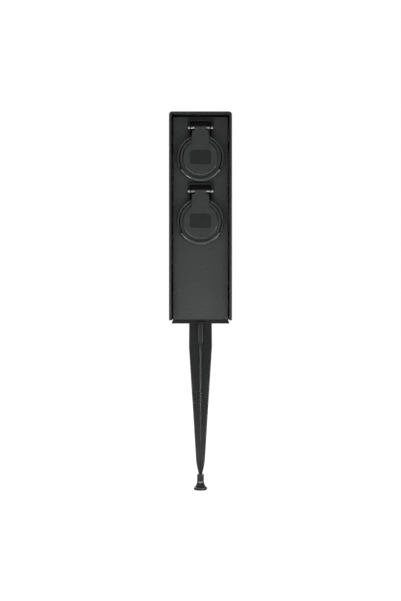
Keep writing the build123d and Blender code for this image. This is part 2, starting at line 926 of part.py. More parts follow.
def make_locking_ring():
    inner = cup_radius + screw_gap
    ring = tube(inner + lock_ring_width, inner, -housing_wall - lock_ring_height, -housing_wall)
    for index in range(lock_ring_notches):
        turn = Rot(0, 0, (index + 1 / 2) * 360 / lock_ring_notches)
        outer = inner + lock_ring_width
        notch = block(
            outer - lock_ring_notch_depth,
            outer + overrun,
            -lock_ring_notch_width / 2,
            lock_ring_notch_width / 2,
            -housing_wall - lock_ring_height - overrun,
            -housing_wall - lock_ring_height + lock_ring_notch_height,
        )
        ring = ring - turn * notch
    return ring


# Lid pieces, also in the socket's frame, with the lid closed
def make_strap():
    # side view of the strap in height and stand-off, then given its width
    outline = [
        (strap_end_rise, dome_face - strap_root_height / 2),
        (strap_end_rise, dome_face + strap_step),
        (shoulder_level, knuckle_face - strap_step),
        (shoulder_level, lid_back),
        (strap_root_rise, lid_back),
        (strap_root_rise, dome_face - strap_root_height / 2),
    ]
    side_view = Plane.YZ * make_face(Polyline(*outline, close=True))
    return extrude(side_view, amount=strap_half_width, both=True)


def make_knuckle():
    knuckle = rod_along_x(
        knuckle_radius, -knuckle_half_width, knuckle_half_width, hinge_rise, hinge_stand
    )
    web = block(
        -knuckle_half_width,
        knuckle_half_width,
        shoulder_level - shoulder_gap,
        hinge_rise,
        lid_back,
        knuckle_face - strap_step,
    )
    bore = rod_along_x(
        hinge_pin_radius + hinge_pin_gap,
        -ear_outer,
        ear_outer,
        hinge_rise,
        hinge_stand,
    )
    return knuckle + web, bore


def make_lip():
    # the channel's floor and the raised lip outside it, with a quarter round as the outer top corner,
    # turned through the lip's own angle
    top = lip_under + lip_height
    floor_inner = channel_inner_radius - channel_root
    floor_level = lid_face - channel_depth
    round_start = (lip_outer_radius - lip_rounding, top)
    round_end = (lip_outer_radius, top - lip_rounding)
    outline = [
        Line((floor_inner, lip_under), (floor_inner, floor_level)),
        Line((floor_inner, floor_level), (lip_inner_radius, floor_level)),
        Line((lip_inner_radius, floor_level), (lip_inner_radius, top)),
        Line((lip_inner_radius, top), round_start),
        TangentArc(round_start, round_end, tangent=(1, 0)),
        Line(round_end, (lip_outer_radius, lip_under)),
        Line((lip_outer_radius, lip_under), (floor_inner, lip_under)),
    ]
    profile = Plane.XZ * make_face(Curve() + outline)
    lip = revolve(profile, axis=Axis.Z, revolution_arc=180 - 2 * lip_end_angle)
    return Rot(0, 0, 180 + lip_end_angle) * lip


def make_lid():
    plate = slab(Circle(lid_radius), lid_back, lid_face)
    plate = fillet(plate.edges().sort_by(Axis.Z)[-1], lid_edge_radius)
    groove = tube(
        dome_base_radius + lid_groove_width, dome_base_radius, lid_face - lid_groove_depth, lid_face + overrun
    )
    channel_ring = Circle(lid_radius + overrun) - Circle(channel_inner_radius)
    channel = channel_ring & sector(
        lid_radius + 2 * overrun, 180 + lip_end_angle, 360 - lip_end_angle
    )
    plate = plate - groove - slab(channel, lid_face - channel_depth, lid_face + overrun)
    dome = lathe(
        [
            (0, lid_back),
            (dome_base_radius, lid_back),
            (dome_base_radius, lid_face),
            (dome_top_radius, dome_face),
            (0, dome_face),
        ]
    )
    knuckle, pin_bore = make_knuckle()
    lid = plate + dome + make_lip() + make_strap() + knuckle - pin_bore
    label = Pos(0, label_shift) * RectangleRounded(label_width, label_height, label_corner_radius)
    lid = lid - slab(label, dome_face - label_depth, dome_face + strap_root_height)
    seal_middle = recess_radius + cup_wall / 2
    groove_depth = seal_thickness + moving_gap - lid_gap
    seal_groove = tube(
        seal_middle + seal_width / 2,
        seal_middle - seal_width / 2,
        lid_back - overrun,
        lid_back + groove_depth,
    )
    return lid - seal_groove


def make_lid_seal():
    middle = recess_radius + cup_wall / 2
    low = mouth_face + moving_gap
    return tube(middle + seal_width / 2, middle - seal_width / 2, low, low + seal_thickness)


def make_hinge_pin():
    pin = rod_along_x(hinge_pin_radius, -ear_outer, ear_outer, hinge_rise, hinge_stand)
    for side in (-1, 1):
        low = min(side * ear_outer, side * (ear_outer + hinge_pin_head_length))
        high = max(side * ear_outer, side * (ear_outer + hinge_pin_head_length))
        head = rod_along_x(hinge_pin_head_radius, low, high, hinge_rise, hinge_stand)
        outer_edge = head.edges().filter_by(GeomType.CIRCLE).sort_by(Axis.X)[-1 if side > 0 else 0]
        pin = pin + fillet(outer_edge, hinge_pin_head_rounding)
    return pin


def biarc(start, start_tangent, end, end_tangent):
    # two arcs from start to end that meet smoothly and keep the tangents at both ends
    span = end - start
    tangents = start_tangent + end_tangent
    bend = 2 * (1 - start_tangent.dot(end_tangent))
    along = span.dot(tangents)
    reach = (-along + sqrt(along**2 + bend * span.dot(span))) / bend
    joint = (start + start_tangent * reach + end - end_tangent * reach) * (1 / 2)
    first = TangentArc(start, joint, tangent=start_tangent)
    return [first, TangentArc(joint, end, tangent=first % 1)]


def spring_point(side, turns):
    angle = 2 * pi * turns
    x = side * (ear_inner - spring_ear_gap - spring_wire_radius - spring_pitch * turns)
    return Vector(
        x,
        hinge_rise + spring_coil_radius * cos(angle),
        hinge_stand + spring_coil_radius * sin(angle),
    )


def spring_tangent(side, turns):
    angle = 2 * pi * turns
    around = 2 * pi * spring_coil_radius
    return Vector(-side * spring_pitch, -around * sin(angle), around * cos(angle)).normalized()


def make_lid_spring(side):
    # one leg stands on the pocket's floor, the other presses on the strap's shoulder
    quarters = 4 * spring_whole_turns + 1
    upward = Vector(0, 0, 1)
    downward = Vector(0, -1, 0)
    points = [spring_point(side, index / 4) for index in range(quarters + 1)]
    tangents = [spring_tangent(side, index / 4) for index in range(quarters + 1)]
    tangents[0] = upward
    tangents[-1] = downward
    foot = Vector(points[0].X, points[0].Y, pocket_bottom)
    toe = Vector(points[-1].X, shoulder_level, points[-1].Z)
    edges = [Line(foot, points[0])]
    for index in range(quarters):
        edges += biarc(points[index], tangents[index], points[index + 1], tangents[index + 1])
    edges.append(Line(points[-1], toe))
    path = Wire([edge.edge() for edge in edges])
    section = Plane(origin=foot, z_dir=upward) * Circle(spring_wire_radius)
    return sweep(section, path=path)


def spring_least_gap():
    # measured on points along the coil, between points more than half a turn apart
    steps_per_turn = 48
    count = steps_per_turn * spring_whole_turns + steps_per_turn // 4
    points = [spring_point(1, index / steps_per_turn) for index in range(count + 1)]
    least = hood_depth
    for first in range(count + 1):
        for second in range(first + steps_per_turn // 2, count + 1):
            least = min(least, (points[first] - points[second]).length)
    return least - 2 * spring_wire_radius


# Contacts, terminals and the cover behind them
def wire_and_screw_holes(x, y, low, high):
    holes = rod(terminal_screw_radius + screw_gap, low, high, x, y)
    for side in (-1, 1):
        holes = holes + rod(wire_hole_radius, low, high, x + side * wire_offset, y)
    return holes


def make_pin_contact(side):
    x = side * pin_x
    outer = contact_bore_radius + contact_wall
    sleeve = rod(outer, chamber_back + contact_drop, floor_back, x, 0)
    bar = block(
        x - terminal_half_width,
        x + terminal_half_width,
        -terminal_low,
        -terminal_high,
        chamber_back,
        chamber_back + terminal_depth,
    )
    contact = sleeve + bar - rod(
        contact_bore_radius, chamber_back + contact_drop - overrun, floor_back + overrun, x, 0
    )
    slit = block(
        x - contact_slit / 2,
        x + contact_slit / 2,
        0,
        outer + overrun,
        chamber_back,
        floor_back + overrun,
    )
    holes = wire_and_screw_holes(
        x, -terminal_screw_drop, chamber_back - overrun, chamber_back + wire_reach
    )
    return contact - slit - holes


def make_earth_bracket():
    strip_level = floor_back - earth_strip_thickness / 2
    top_level = mouth_face - earth_clip_drop
    bracket = None
    for side in (-1, 1):
        centre = side * (earth_clip_height + earth_strip_thickness / 2)
        line = Polyline(
            (0, strip_level),
            (centre, strip_level),
            (centre, top_level - 2 * earth_clip_bend_drop),
            (centre - side * earth_clip_pinch, top_level - earth_clip_bend_drop),
            (centre, top_level),
        )
        strip = extrude(
            Plane.YZ * trace(line, line_width=earth_strip_thickness),
            amount=earth_strip_width / 2,
            both=True,
        )
        bracket = strip if bracket is None else bracket + strip
    bar = block(
        -terminal_half_width,
        terminal_half_width,
        earth_post_low,
        earth_post_high,
        chamber_back,
        chamber_back + terminal_depth,
    )
    post = block(
        -earth_strip_width / 2,
        earth_strip_width / 2,
        earth_post_low,
        earth_post_low + earth_strip_thickness,
        chamber_back + terminal_depth - earth_strip_thickness,
        strip_level,
    )
    bracket = bracket + bar + post
    return bracket - wire_and_screw_holes(
        0, earth_terminal_y(), chamber_back - overrun, chamber_back + wire_reach
    )


def earth_terminal_y():
    return (earth_post_low + earth_post_high) / 2


def terminal_places():
    return [(-pin_x, -terminal_screw_drop), (pin_x, -terminal_screw_drop), (0, earth_terminal_y())]


def make_terminal_screws():
    screw = pan_screw(
        terminal_screw_radius,
        terminal_screw_length - overrun,
        terminal_screw_head_radius,
        terminal_screw_head_height,
    )
    return [Pos(x, y, chamber_back) * Rot(180, 0, 0) * screw for x, y in terminal_places()]


def make_contact_cover():
    cover = rod(cup_radius, contact_cover_back, chamber_back)
    for x, y in terminal_places():
        low = contact_cover_back - overrun
        high = chamber_back + overrun
        cover = cover - rod(terminal_screw_head_radius + clearance_gap, low, high, x, y)
        for side in (-1, 1):
            cover = cover - rod(wire_hole_radius, low, high, x + side * wire_offset, y)
    for x, y in cover_boss_places():
        low = contact_cover_back - overrun
        high = chamber_back + overrun
        cover = cover - rod(contact_cover_screw_radius + clearance_gap, low, high, x, y)
    return cover


def make_contact_cover_screws():
    screw = pan_screw(
        contact_cover_screw_radius,
        contact_cover_screw_length,
        contact_cover_screw_head_radius,
        contact_cover_screw_head_height,
    )
    return [Pos(x, y, contact_cover_back) * Rot(180, 0, 0) * screw for x, y in cover_boss_places()]


# Supply gland, built along z with the rear cover's face at z = 0
def gland_levels():
    washer_top = gland_washer_thickness
    hex_top = washer_top + gland_hex_height
    neck_top = hex_top + gland_neck_length
    return washer_top, hex_top, neck_top


def make_gland_body():
    washer_top, hex_top, neck_top = gland_levels()
    tail = -cover_thickness - gland_tail_length
    body = rod(gland_thread_radius, tail, neck_top)
    body = body + hexagon_rod(gland_hex_across_flats, washer_top, hex_top)
    body = body - rod(gland_thread_radius - gland_thread_wall, tail - overrun, neck_top + overrun)
    seat = neck_top - gland_seal_length
    return body - rod(gland_seal_radius + screw_gap, seat, neck_top + overrun)


def make_gland_washer():
    return tube(gland_washer_radius, gland_thread_radius + screw_gap, 0, gland_washer_thickness)


def make_gland_seal():
    neck_top = gland_levels()[2]
    return tube(gland_seal_radius, gland_seal_bore, neck_top - gland_seal_length, neck_top)


def make_gland_cap_nut():
    washer_top, hex_top, neck_top = gland_levels()
    low = hex_top + gland_nut_gap
    high = low + gland_nut_length
    outer = gland_thread_radius + gland_nut_wall
    nut = rod(outer, low, high)
    nut = fillet(nut.edges().sort_by(Axis.Z)[-1], gland_nut_rounding)
    nut = nut - rod(gland_thread_radius + screw_gap, low - overrun, neck_top + screw_gap)
    nut = nut - rod(gland_nut_mouth_radius, neck_top - overrun, high + overrun)
    for index in range(gland_nut_flutes):
        turn = Rot(0, 0, index * 360 / gland_nut_flutes)
        groove = rod(gland_nut_flute_radius, low - overrun, high - gland_nut_rounding, outer, 0)
        nut = nut - turn * groove
    return nut


def make_gland_locknut():
    nut = hexagon_rod(locknut_across_flats, -cover_thickness - locknut_height, -cover_thickness)
    return nut - rod(
        gland_thread_radius + screw_gap, -cover_thickness - locknut_height - overrun, overrun
    )


# Terminal block, in the housing's frame
def block_ways():
    return [index * block_way_spacing for index in (-1, 0, 1)]


block_front = panel_inner + block_standoff
block_back = block_front + block_size_y
block_middle = (block_front + block_back) / 2
block_low = block_height - block_size_z / 2
block_high = block_height + block_size_z / 2


def make_terminal_block():
    body = block(
        -block_size_x / 2, block_size_x / 2, block_front, block_back, block_low, block_high
    )
    body = fillet(body.edges().filter_by(Axis.Z), housing_edge_radius)
    for x in block_ways():
        body = body - rod(
            block_clamp_radius + screw_gap, block_low - overrun, block_high + overrun, x, block_middle
        )
        for end in (-1, 1):
            body = body - rod_along_y(
                block_clamp_screw_radius * 2,
                block_middle,
                block_back + overrun,
                x,
                block_height + end * block_clamp_screw_offset,
            )
    for side in (-1, 1):
        body = body - rod_along_y(
            block_fixing_radius + clearance_gap,
            block_front - overrun,
            block_back + overrun,
            side * block_way_spacing / 2,
            block_height,
        )
    return body


def make_terminal_clamps():
    clamps = []
    for x in block_ways():
        clamp = tube(block_clamp_radius, block_clamp_bore, block_low, block_high, x, block_middle)
        for end in (-1, 1):
            clamp = clamp - rod_along_y(
                block_clamp_screw_radius + screw_gap,
                block_middle,
                block_back,
                x,
                block_height + end * block_clamp_screw_offset,
            )
        clamps.append(clamp)
    return clamps


def make_clamp_screws():
    screws = []
    for x in block_ways():
        for end in (-1, 1):
            screws.append(
                rod_along_y(
                    block_clamp_screw_radius,
                    block_middle + block_clamp_bore,
                    block_back - block_clamp_screw_radius,
                    x,
                    block_height + end * block_clamp_screw_offset,
                )
            )
    return screws


def make_block_screws():
    screws = []
    for side in (-1, 1):
        screw = pan_screw(
            block_fixing_radius,
            block_size_y + block_standoff,
            block_fixing_head_radius,
            block_fixing_radius,
        )
        place = Plane(
            origin=(side * block_way_spacing / 2, block_back, block_height),
            x_dir=(1, 0, 0),
            z_dir=(0, 1, 0),
        )
        screws.append(place.location * screw)
    return screws


# Wires inside the housing, each a tube from one terminal to the next
def wire_along(points):
    path = FilletPolyline(*points, radius=wire_bend_radius)
    start = Plane(origin=path @ 0, z_dir=path % 0)
    return sweep(start * Circle(wire_radius), path=path)


def terminal_end_y():
    # where a wire ends, at the bottom of its hole in a socket's terminal
    return panel_front - chamber_back - wire_reach


def block_to_socket(x_block, place, plane, side):
    x = place[0] + side * wire_offset
    height = lower_centre + place[1]
    bottom = min(y for _, y in terminal_places())
    slope_top = lower_centre + bottom - wire_slope_drop - wire_bend_radius
    return wire_along(
        [
            (x_block, block_middle, block_high - block_wire_depth),
            (x_block, block_middle, block_high + wire_rise_above_block),
            (x, plane, slope_top),
            (x, plane, height),
            (x, terminal_end_y(), height),
        ]
    )


def socket_to_socket(place, plane, side):
    x = place[0] + side * wire_offset
    low = lower_centre + place[1]
    high = upper_centre + place[1]
    return wire_along(
        [
            (x, terminal_end_y(), low),
            (x, plane, low),
            (x, plane, high),
            (x, terminal_end_y(), high),
        ]
    )


def make_wires(index):
    # live in the left way of the block, neutral in the right one and earth in the middle, set back
    place = terminal_places()[index]
    left, middle, right = block_ways()
    x_block = (left, right, middle)[index]
    plane = wire_rear_plane + (wire_layer_step if x_block == middle else 0)
    # the wire from the block comes in on the side of the socket's middle, the next one leaves outside
    inward = 1 if place[0] < 0 else -1
    return [block_to_socket(x_block, place, plane, inward), socket_to_socket(place, plane, -inward)]


def make_bond_lug():
    inner_face = -hood_wall - housing_side_gap - housing_wall
    ring = tube(lug_radius, bond_screw_radius + clearance_gap, inner_face - lug_thickness, inner_face)
    lug = beside_hood(ring, 1, bond_height, bond_depth)
    barrel_x = housing_inner_half_width - lug_barrel_radius
    top = bond_height - lug_radius + lug_thickness
    barrel = tube(
        lug_barrel_radius,
        wire_radius + wire_hole_gap,
        top - lug_barrel_length,
        top,
        barrel_x,
        bond_depth,
    )
    return lug + barrel


def make_bond_screw():
    inner_face = -hood_wall - housing_side_gap - housing_wall - lug_thickness
    length = lug_thickness + housing_wall + housing_side_gap + bond_screw_bite
    screw = Rot(180, 0, 0) * pan_screw(
        bond_screw_radius, length, bond_screw_head_radius, bond_screw_head_height
    )
    return beside_hood(Pos(0, 0, inner_face) * screw, 1, bond_height, bond_depth)


def make_bond_wire():
    barrel_x = housing_inner_half_width - lug_barrel_radius
    barrel_low = bond_height - lug_radius + lug_thickness - lug_barrel_length
    lowest = barrel_low - bond_wire_dip
    return wire_along(
        [
            (0, block_middle, block_low + block_wire_depth),
            (0, block_middle, lowest + wire_bend_radius),
            (bond_wire_bend_x, bond_depth, lowest),
            (barrel_x, bond_depth, lowest + wire_bend_radius),
            (barrel_x, bond_depth, barrel_low + lug_barrel_length / 2),
        ]
    )


def main():
    os.makedirs("parts", exist_ok=True)
    write("hood", make_hood())
    write("hood_screws", *make_hood_screws())
    write("inner_housing", make_inner_housing())
    write("rear_gasket", make_rear_gasket())
    write("rear_cover", make_rear_cover())
    write("rear_cover_screws", *make_rear_cover_screws())
    write("base_cap", make_base_cap())
    write("base_cap_screws", *make_base_cap_screws())
    write("ground_spike", make_ground_spike())
    write("spike_bolt", make_spike_bolt())
    write("spike_washer", make_spike_washer())
    write("tip_guard", make_tip_guard())

    socket_pieces = {
        "flange_gasket": [make_flange_gasket()],
        "socket_flange": [make_socket_flange()],
        "socket_body": [make_socket_body()],
        "socket_insert": [make_socket_insert()],
        "locking_ring": [make_locking_ring()],
        "lid": [make_lid()],
        "lid_seal": [make_lid_seal()],
        "hinge_pin": [make_hinge_pin()],
        "lid_springs": [make_lid_spring(-1), make_lid_spring(1)],
        "live_contact": [make_pin_contact(-1)],
        "neutral_contact": [make_pin_contact(1)],
        "earth_bracket": [make_earth_bracket()],
        "terminal_screws": make_terminal_screws(),
        "contact_cover": [make_contact_cover()],
        "contact_cover_screws": make_contact_cover_screws(),
    }
    for level, centre in (("upper", upper_centre), ("lower", lower_centre)):
        for name, pieces in socket_pieces.items():
            write(level + "_" + name, *[on_panel(piece, centre) for piece in pieces])
    print("least gap between the turns of a lid spring:", round(spring_least_gap(), 3), "mm")

    gland_pieces = {
        "gland_body": make_gland_body(),
        "gland_washer": make_gland_washer(),
        "gland_seal": make_gland_seal(),
        "gland_cap_nut": make_gland_cap_nut(),
        "gland_locknut": make_gland_locknut(),
    }
    for name, piece in gland_pieces.items():
        write(name, at_rear(piece, 0, gland_height))

    write("terminal_block", make_terminal_block())
    write("terminal_clamps", *make_terminal_clamps())
    write("clamp_screws", *make_clamp_screws())
    write("block_screws", *make_block_screws())
    for index, name in enumerate(("live_wires", "neutral_wires", "earth_wires")):
        write(name, *make_wires(index))
    write("bond_wire", make_bond_wire())
    write("bond_lug", make_bond_lug())
    write("bond_screw", make_bond_screw())


main()
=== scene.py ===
import json
from math import atan2, ceil, cos, pi, radians, sin

import bmesh
import bpy
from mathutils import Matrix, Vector

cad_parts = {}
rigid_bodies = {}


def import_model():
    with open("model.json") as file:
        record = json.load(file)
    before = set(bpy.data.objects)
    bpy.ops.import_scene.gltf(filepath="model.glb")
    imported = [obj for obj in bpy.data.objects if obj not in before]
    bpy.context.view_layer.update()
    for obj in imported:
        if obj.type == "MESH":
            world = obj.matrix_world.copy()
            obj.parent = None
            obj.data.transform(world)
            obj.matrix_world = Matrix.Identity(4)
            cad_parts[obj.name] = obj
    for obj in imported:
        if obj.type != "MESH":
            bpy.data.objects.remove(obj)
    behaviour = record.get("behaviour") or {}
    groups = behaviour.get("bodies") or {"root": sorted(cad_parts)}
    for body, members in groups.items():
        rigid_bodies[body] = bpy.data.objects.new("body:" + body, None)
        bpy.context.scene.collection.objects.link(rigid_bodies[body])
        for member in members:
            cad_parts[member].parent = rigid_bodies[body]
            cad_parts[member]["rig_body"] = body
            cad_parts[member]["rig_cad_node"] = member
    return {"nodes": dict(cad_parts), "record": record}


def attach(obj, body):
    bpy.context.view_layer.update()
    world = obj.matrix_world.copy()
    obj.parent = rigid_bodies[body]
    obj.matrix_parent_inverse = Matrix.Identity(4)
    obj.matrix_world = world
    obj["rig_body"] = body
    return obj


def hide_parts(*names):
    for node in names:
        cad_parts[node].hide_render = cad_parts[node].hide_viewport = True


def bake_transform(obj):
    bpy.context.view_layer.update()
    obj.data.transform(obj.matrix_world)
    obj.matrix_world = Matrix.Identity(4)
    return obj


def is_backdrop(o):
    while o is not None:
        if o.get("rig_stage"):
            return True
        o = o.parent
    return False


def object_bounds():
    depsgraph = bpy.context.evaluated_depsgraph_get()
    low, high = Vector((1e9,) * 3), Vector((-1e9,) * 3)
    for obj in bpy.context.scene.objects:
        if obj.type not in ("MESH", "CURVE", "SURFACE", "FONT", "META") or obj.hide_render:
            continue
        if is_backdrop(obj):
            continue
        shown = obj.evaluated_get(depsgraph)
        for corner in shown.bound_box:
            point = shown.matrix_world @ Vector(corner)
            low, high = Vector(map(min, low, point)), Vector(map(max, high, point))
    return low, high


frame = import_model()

# Garden socket post. x to the right, y to the back, z up; the soil line is z = 0.
# Sizes in the dictionaries are millimetres; mm() turns them into metres.

scene = bpy.context.scene
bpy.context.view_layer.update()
nodes = frame["nodes"]
record = frame["record"]
weldGap = 0.002  # points closer than this are merged
pickGap = 0.01  # a point this close to a place counts as being there
# how many steps a turned shape is spun in
turnSteps = {"disc": 128, "collar": 96, "guard": 72, "lip": 64, "knuckle": 48, "small": 40}
print("post: packed model loaded,", len(nodes), "nodes")


def mm(*sizes):
    scaled = tuple(size / 1000 for size in sizes)
    return scaled[0] if len(scaled) == 1 else scaled


# camera first, then light
cameraView = {"place": (0, -1437.5, 27.6), "lens": 70.47, "sensor": 36, "clip": (50, 50000)}

cameraData = bpy.data.cameras.new("photoCamera")
cameraData.lens = cameraView["lens"]
cameraData.sensor_width = cameraView["sensor"]
cameraData.clip_start, cameraData.clip_end = mm(*cameraView["clip"])
photoCamera = bpy.data.objects.new("photoCamera", cameraData)
photoCamera.location = mm(*cameraView["place"])
photoCamera.rotation_euler = (radians(90), 0, 0)
scene.collection.objects.link(photoCamera)
scene.camera = photoCamera
scene.view_settings.view_transform = "Standard"


def hexColor(text):
    # sRGB hex to the linear colour that a shader takes
    channels = [int(text[i:i + 2], 16) / 255 for i in (1, 3, 5)]
    return tuple([c / 12.92 if c <= 0.04045 else ((c + 0.055) / 1.055) ** 2.4 for c in channels] + [1.0])


def addNode(tree, kind, values=None, links=None):
    # adds a node; a value goes to the input of that name or number, or else to the node's own setting
    node = tree.nodes.new(kind)
    for key, value in (values or {}).items():
        if isinstance(key, int) or key in node.inputs:
            node.inputs[key].default_value = value
        else:
            setattr(node, key, value)
    for key, source in (links or {}).items():
        tree.links.new(source, node.inputs[key])
    return node


def seenDirectly(tree):
    # 1 for what the camera sees straight, in gloss or through glass; 0 for the light on matt surfaces
    path = addNode(tree, "ShaderNodeLightPath").outputs
    seen = path["Is Camera Ray"]
    for ray in ("Is Glossy Ray", "Is Transmission Ray"):
        seen = addNode(tree, "ShaderNodeMath", {"operation": "MAXIMUM"}, {0: seen, 1: path[ray]}).outputs[0]
    return seen


# light: a white surround for the eye and for gloss, softer on matt surfaces
studio = {"surround": 1.0, "ambient": 0.2}
lamps = [
    # a key in front and above, a low lamp for what the white table throws back, four small ones beside
    # the post for the edges and the ends of the finger lips, and a wide one behind
    # name, place, aim, size, power in watts
    ("keyLamp", (-350, -1300, 750), (0, 0, 80), 600, 1.0),
    ("tableLamp", (0, -330, -150), (0, -330, -204), 320, 7.2),
    ("lowLeftLamp", (-620, -330, -140), (0, 0, 110), 80, 2.2),
    ("lipLeftLamp", (-300, -420, -190), (0, 0, 150), 30, 1.7),
    ("lowRightLamp", (620, -330, -140), (0, 0, 110), 80, 3.2),
    ("lipRightLamp", (330, -420, -185), (0, 0, 150), 60, 1.7),
    ("rearLamp", (-300, 1200, 500), (0, 0, 80), 800, 8.0),
]

world = bpy.data.worlds.new("studioAir")
world.use_nodes = True
scene.world = world
air = world.node_tree
air.nodes.clear()
soft = addNode(air, "ShaderNodeBackground", {"Color": (1, 1, 1, 1), "Strength": studio["ambient"]})
white = addNode(air, "ShaderNodeBackground", {"Color": (1, 1, 1, 1), "Strength": studio["surround"]})
blend = addNode(
    air, "ShaderNodeMixShader", None, {0: seenDirectly(air), 1: soft.outputs[0], 2: white.outputs[0]})
addNode(air, "ShaderNodeOutputWorld", None, {"Surface": blend.outputs[0]})

for name, place, aim, size, power in lamps:
    lampData = bpy.data.lights.new(name, "AREA")
    lampData.shape = "SQUARE"
    lampData.size = mm(size)
    lampData.energy = power
    lamp = bpy.data.objects.new(name, lampData)
    lamp.location = mm(*place)
    lamp.visible_camera = False
    lamp.rotation_euler = (Vector(mm(*aim)) - Vector(mm(*place))).to_track_quat("-Z", "Y").to_euler()
    scene.collection.objects.link(lamp)
print("post: camera and", len(lamps), "lamps in place")


# materials
def newMaterial(name):
    material = bpy.data.materials.new(name)
    material.use_nodes = True
    tree = material.node_tree
    tree.nodes.clear()
    place = addNode(tree, "ShaderNodeTexCoord").outputs["Object"]
    return material, tree, place


def closeMaterial(material, tree, shaderValues, shaderLinks):
    shader = addNode(tree, "ShaderNodeBsdfPrincipled", shaderValues, shaderLinks)
    addNode(tree, "ShaderNodeOutputMaterial", None, {"Surface": shader.outputs[0]})
    return material


def grainOf(size):
    # noise scale whose lumps are about this many millimetres apart
    return 1000 / size


mouldedLook = {
    "grainShare": 0.45, "shadeFrom": 0.38, "shadeTo": 0.62, "glossFrom": 0.35, "glossTo": 0.65,
    "widePatches": 12,
}


def mouldedFinish(name, low, high, patch, grain, depth, rough, ior=1.5, shine=0.5, stretch=(1, 1, 1)):
    # plastic, rubber or paint: two close shades in patches, a fine grain in the height and the gloss
    look = mouldedLook
    material, tree, place = newMaterial(name)
    run = addNode(tree, "ShaderNodeMapping", {"Scale": stretch}, {"Vector": place})
    cloud = addNode(
        tree, "ShaderNodeTexNoise", {"Scale": grainOf(patch), "Detail": 3.0, "Roughness": 0.55},
        {"Vector": run.outputs[0]})
    fine = addNode(
        tree, "ShaderNodeTexNoise", {"Scale": grainOf(grain), "Detail": 2.0, "Roughness": 0.6},
        {"Vector": run.outputs[0]})
    wide = addNode(
        tree, "ShaderNodeTexNoise", {"Scale": grainOf(patch * look["widePatches"]), "Detail": 2.0},
        {"Vector": place})
    both = addNode(
        tree, "ShaderNodeMix", {"data_type": "FLOAT", 0: look["grainShare"]},
        {2: cloud.outputs[0], 3: fine.outputs[0]})
    spread = addNode(
        tree, "ShaderNodeMapRange", {"From Min": look["shadeFrom"], "From Max": look["shadeTo"]},
        {"Value": both.outputs[0]})
    color = addNode(
        tree, "ShaderNodeMix", {"data_type": "RGBA", 6: hexColor(low), 7: hexColor(high)},
        {0: spread.outputs[0]})
    gloss = addNode(
        tree, "ShaderNodeMapRange",
        {"From Min": look["glossFrom"], "From Max": look["glossTo"], "To Min": rough[0], "To Max": rough[1]},
        {"Value": wide.outputs[0]})
    bump = addNode(
        tree, "ShaderNodeBump", {"Strength": 1.0, "Distance": mm(depth)}, {"Height": fine.outputs[0]})
    return closeMaterial(
        material, tree, {"IOR": ior, "Specular IOR Level": shine},
        {"Base Color": color.outputs[2], "Roughness": gloss.outputs[0], "Normal": bump.outputs[0]})


metalLook = {"glossFrom": 0.3, "glossTo": 0.7, "cloudLines": 14}


def metalFinish(name, low, high, rough, line, depth, stretch=(1, 1, 1)):
    # bare metal: fine lines left by turning, drawing or rolling, in gloss and height, under a soft shade
    look = metalLook
    material, tree, place = newMaterial(name)
    run = addNode(tree, "ShaderNodeMapping", {"Scale": stretch}, {"Vector": place})
    lines = addNode(
        tree, "ShaderNodeTexNoise", {"Scale": grainOf(line), "Detail": 3.0, "Roughness": 0.6},
        {"Vector": run.outputs[0]})
    cloud = addNode(
        tree, "ShaderNodeTexNoise", {"Scale": grainOf(line * look["cloudLines"]), "Detail": 2.0},
        {"Vector": place})
    color = addNode(
        tree, "ShaderNodeMix", {"data_type": "RGBA", 6: hexColor(low), 7: hexColor(high)},
        {0: cloud.outputs[0]})
    gloss = addNode(
        tree, "ShaderNodeMapRange",
        {"From Min": look["glossFrom"], "From Max": look["glossTo"], "To Min": rough[0], "To Max": rough[1]},
        {"Value": lines.outputs[0]})
    bump = addNode(
        tree, "ShaderNodeBump", {"Strength": 1.0, "Distance": mm(depth)}, {"Height": lines.outputs[0]})
    return closeMaterial(
        material, tree, {"Metallic": 1.0},
        {"Base Color": color.outputs[2], "Roughness": gloss.outputs[0], "Normal": bump.outputs[0]})


earthLook = {
    "green": "#2F7A35", "yellow": "#D8C22E", "stripe": 9.864, "lump": 1.5, "depth": 0.02, "rough": 0.38,
}


def earthInsulation(look):
    # extruded PVC in two colours: green and yellow bands that slant across the wire, 10 mm long each;
    # a diagonal wave repeats after 2 pi / (10 * scale) metres along an axis
    material, tree, place = newMaterial("earthWirePvc")
    scale = pi / (10 * mm(look["stripe"]))
    bands = addNode(
        tree, "ShaderNodeTexWave",
        {"wave_type": "BANDS", "bands_direction": "DIAGONAL", "Scale": scale, "Distortion": 0.0},
        {"Vector": place})
    side = addNode(tree, "ShaderNodeMath", {"operation": "GREATER_THAN", 1: 0.5}, {0: bands.outputs["Fac"]})
    color = addNode(
        tree, "ShaderNodeMix", {"data_type": "RGBA", 6: hexColor(look["green"]), 7: hexColor(look["yellow"])},
        {0: side.outputs[0]})
    fine = addNode(tree, "ShaderNodeTexNoise", {"Scale": grainOf(look["lump"])}, {"Vector": place})
    bump = addNode(
        tree, "ShaderNodeBump", {"Strength": 0.5, "Distance": mm(look["depth"])}, {"Height": fine.outputs[0]})
    return closeMaterial(
        material, tree, {"IOR": 1.53, "Roughness": look["rough"]},
        {"Base Color": color.outputs[2], "Normal": bump.outputs[0]})


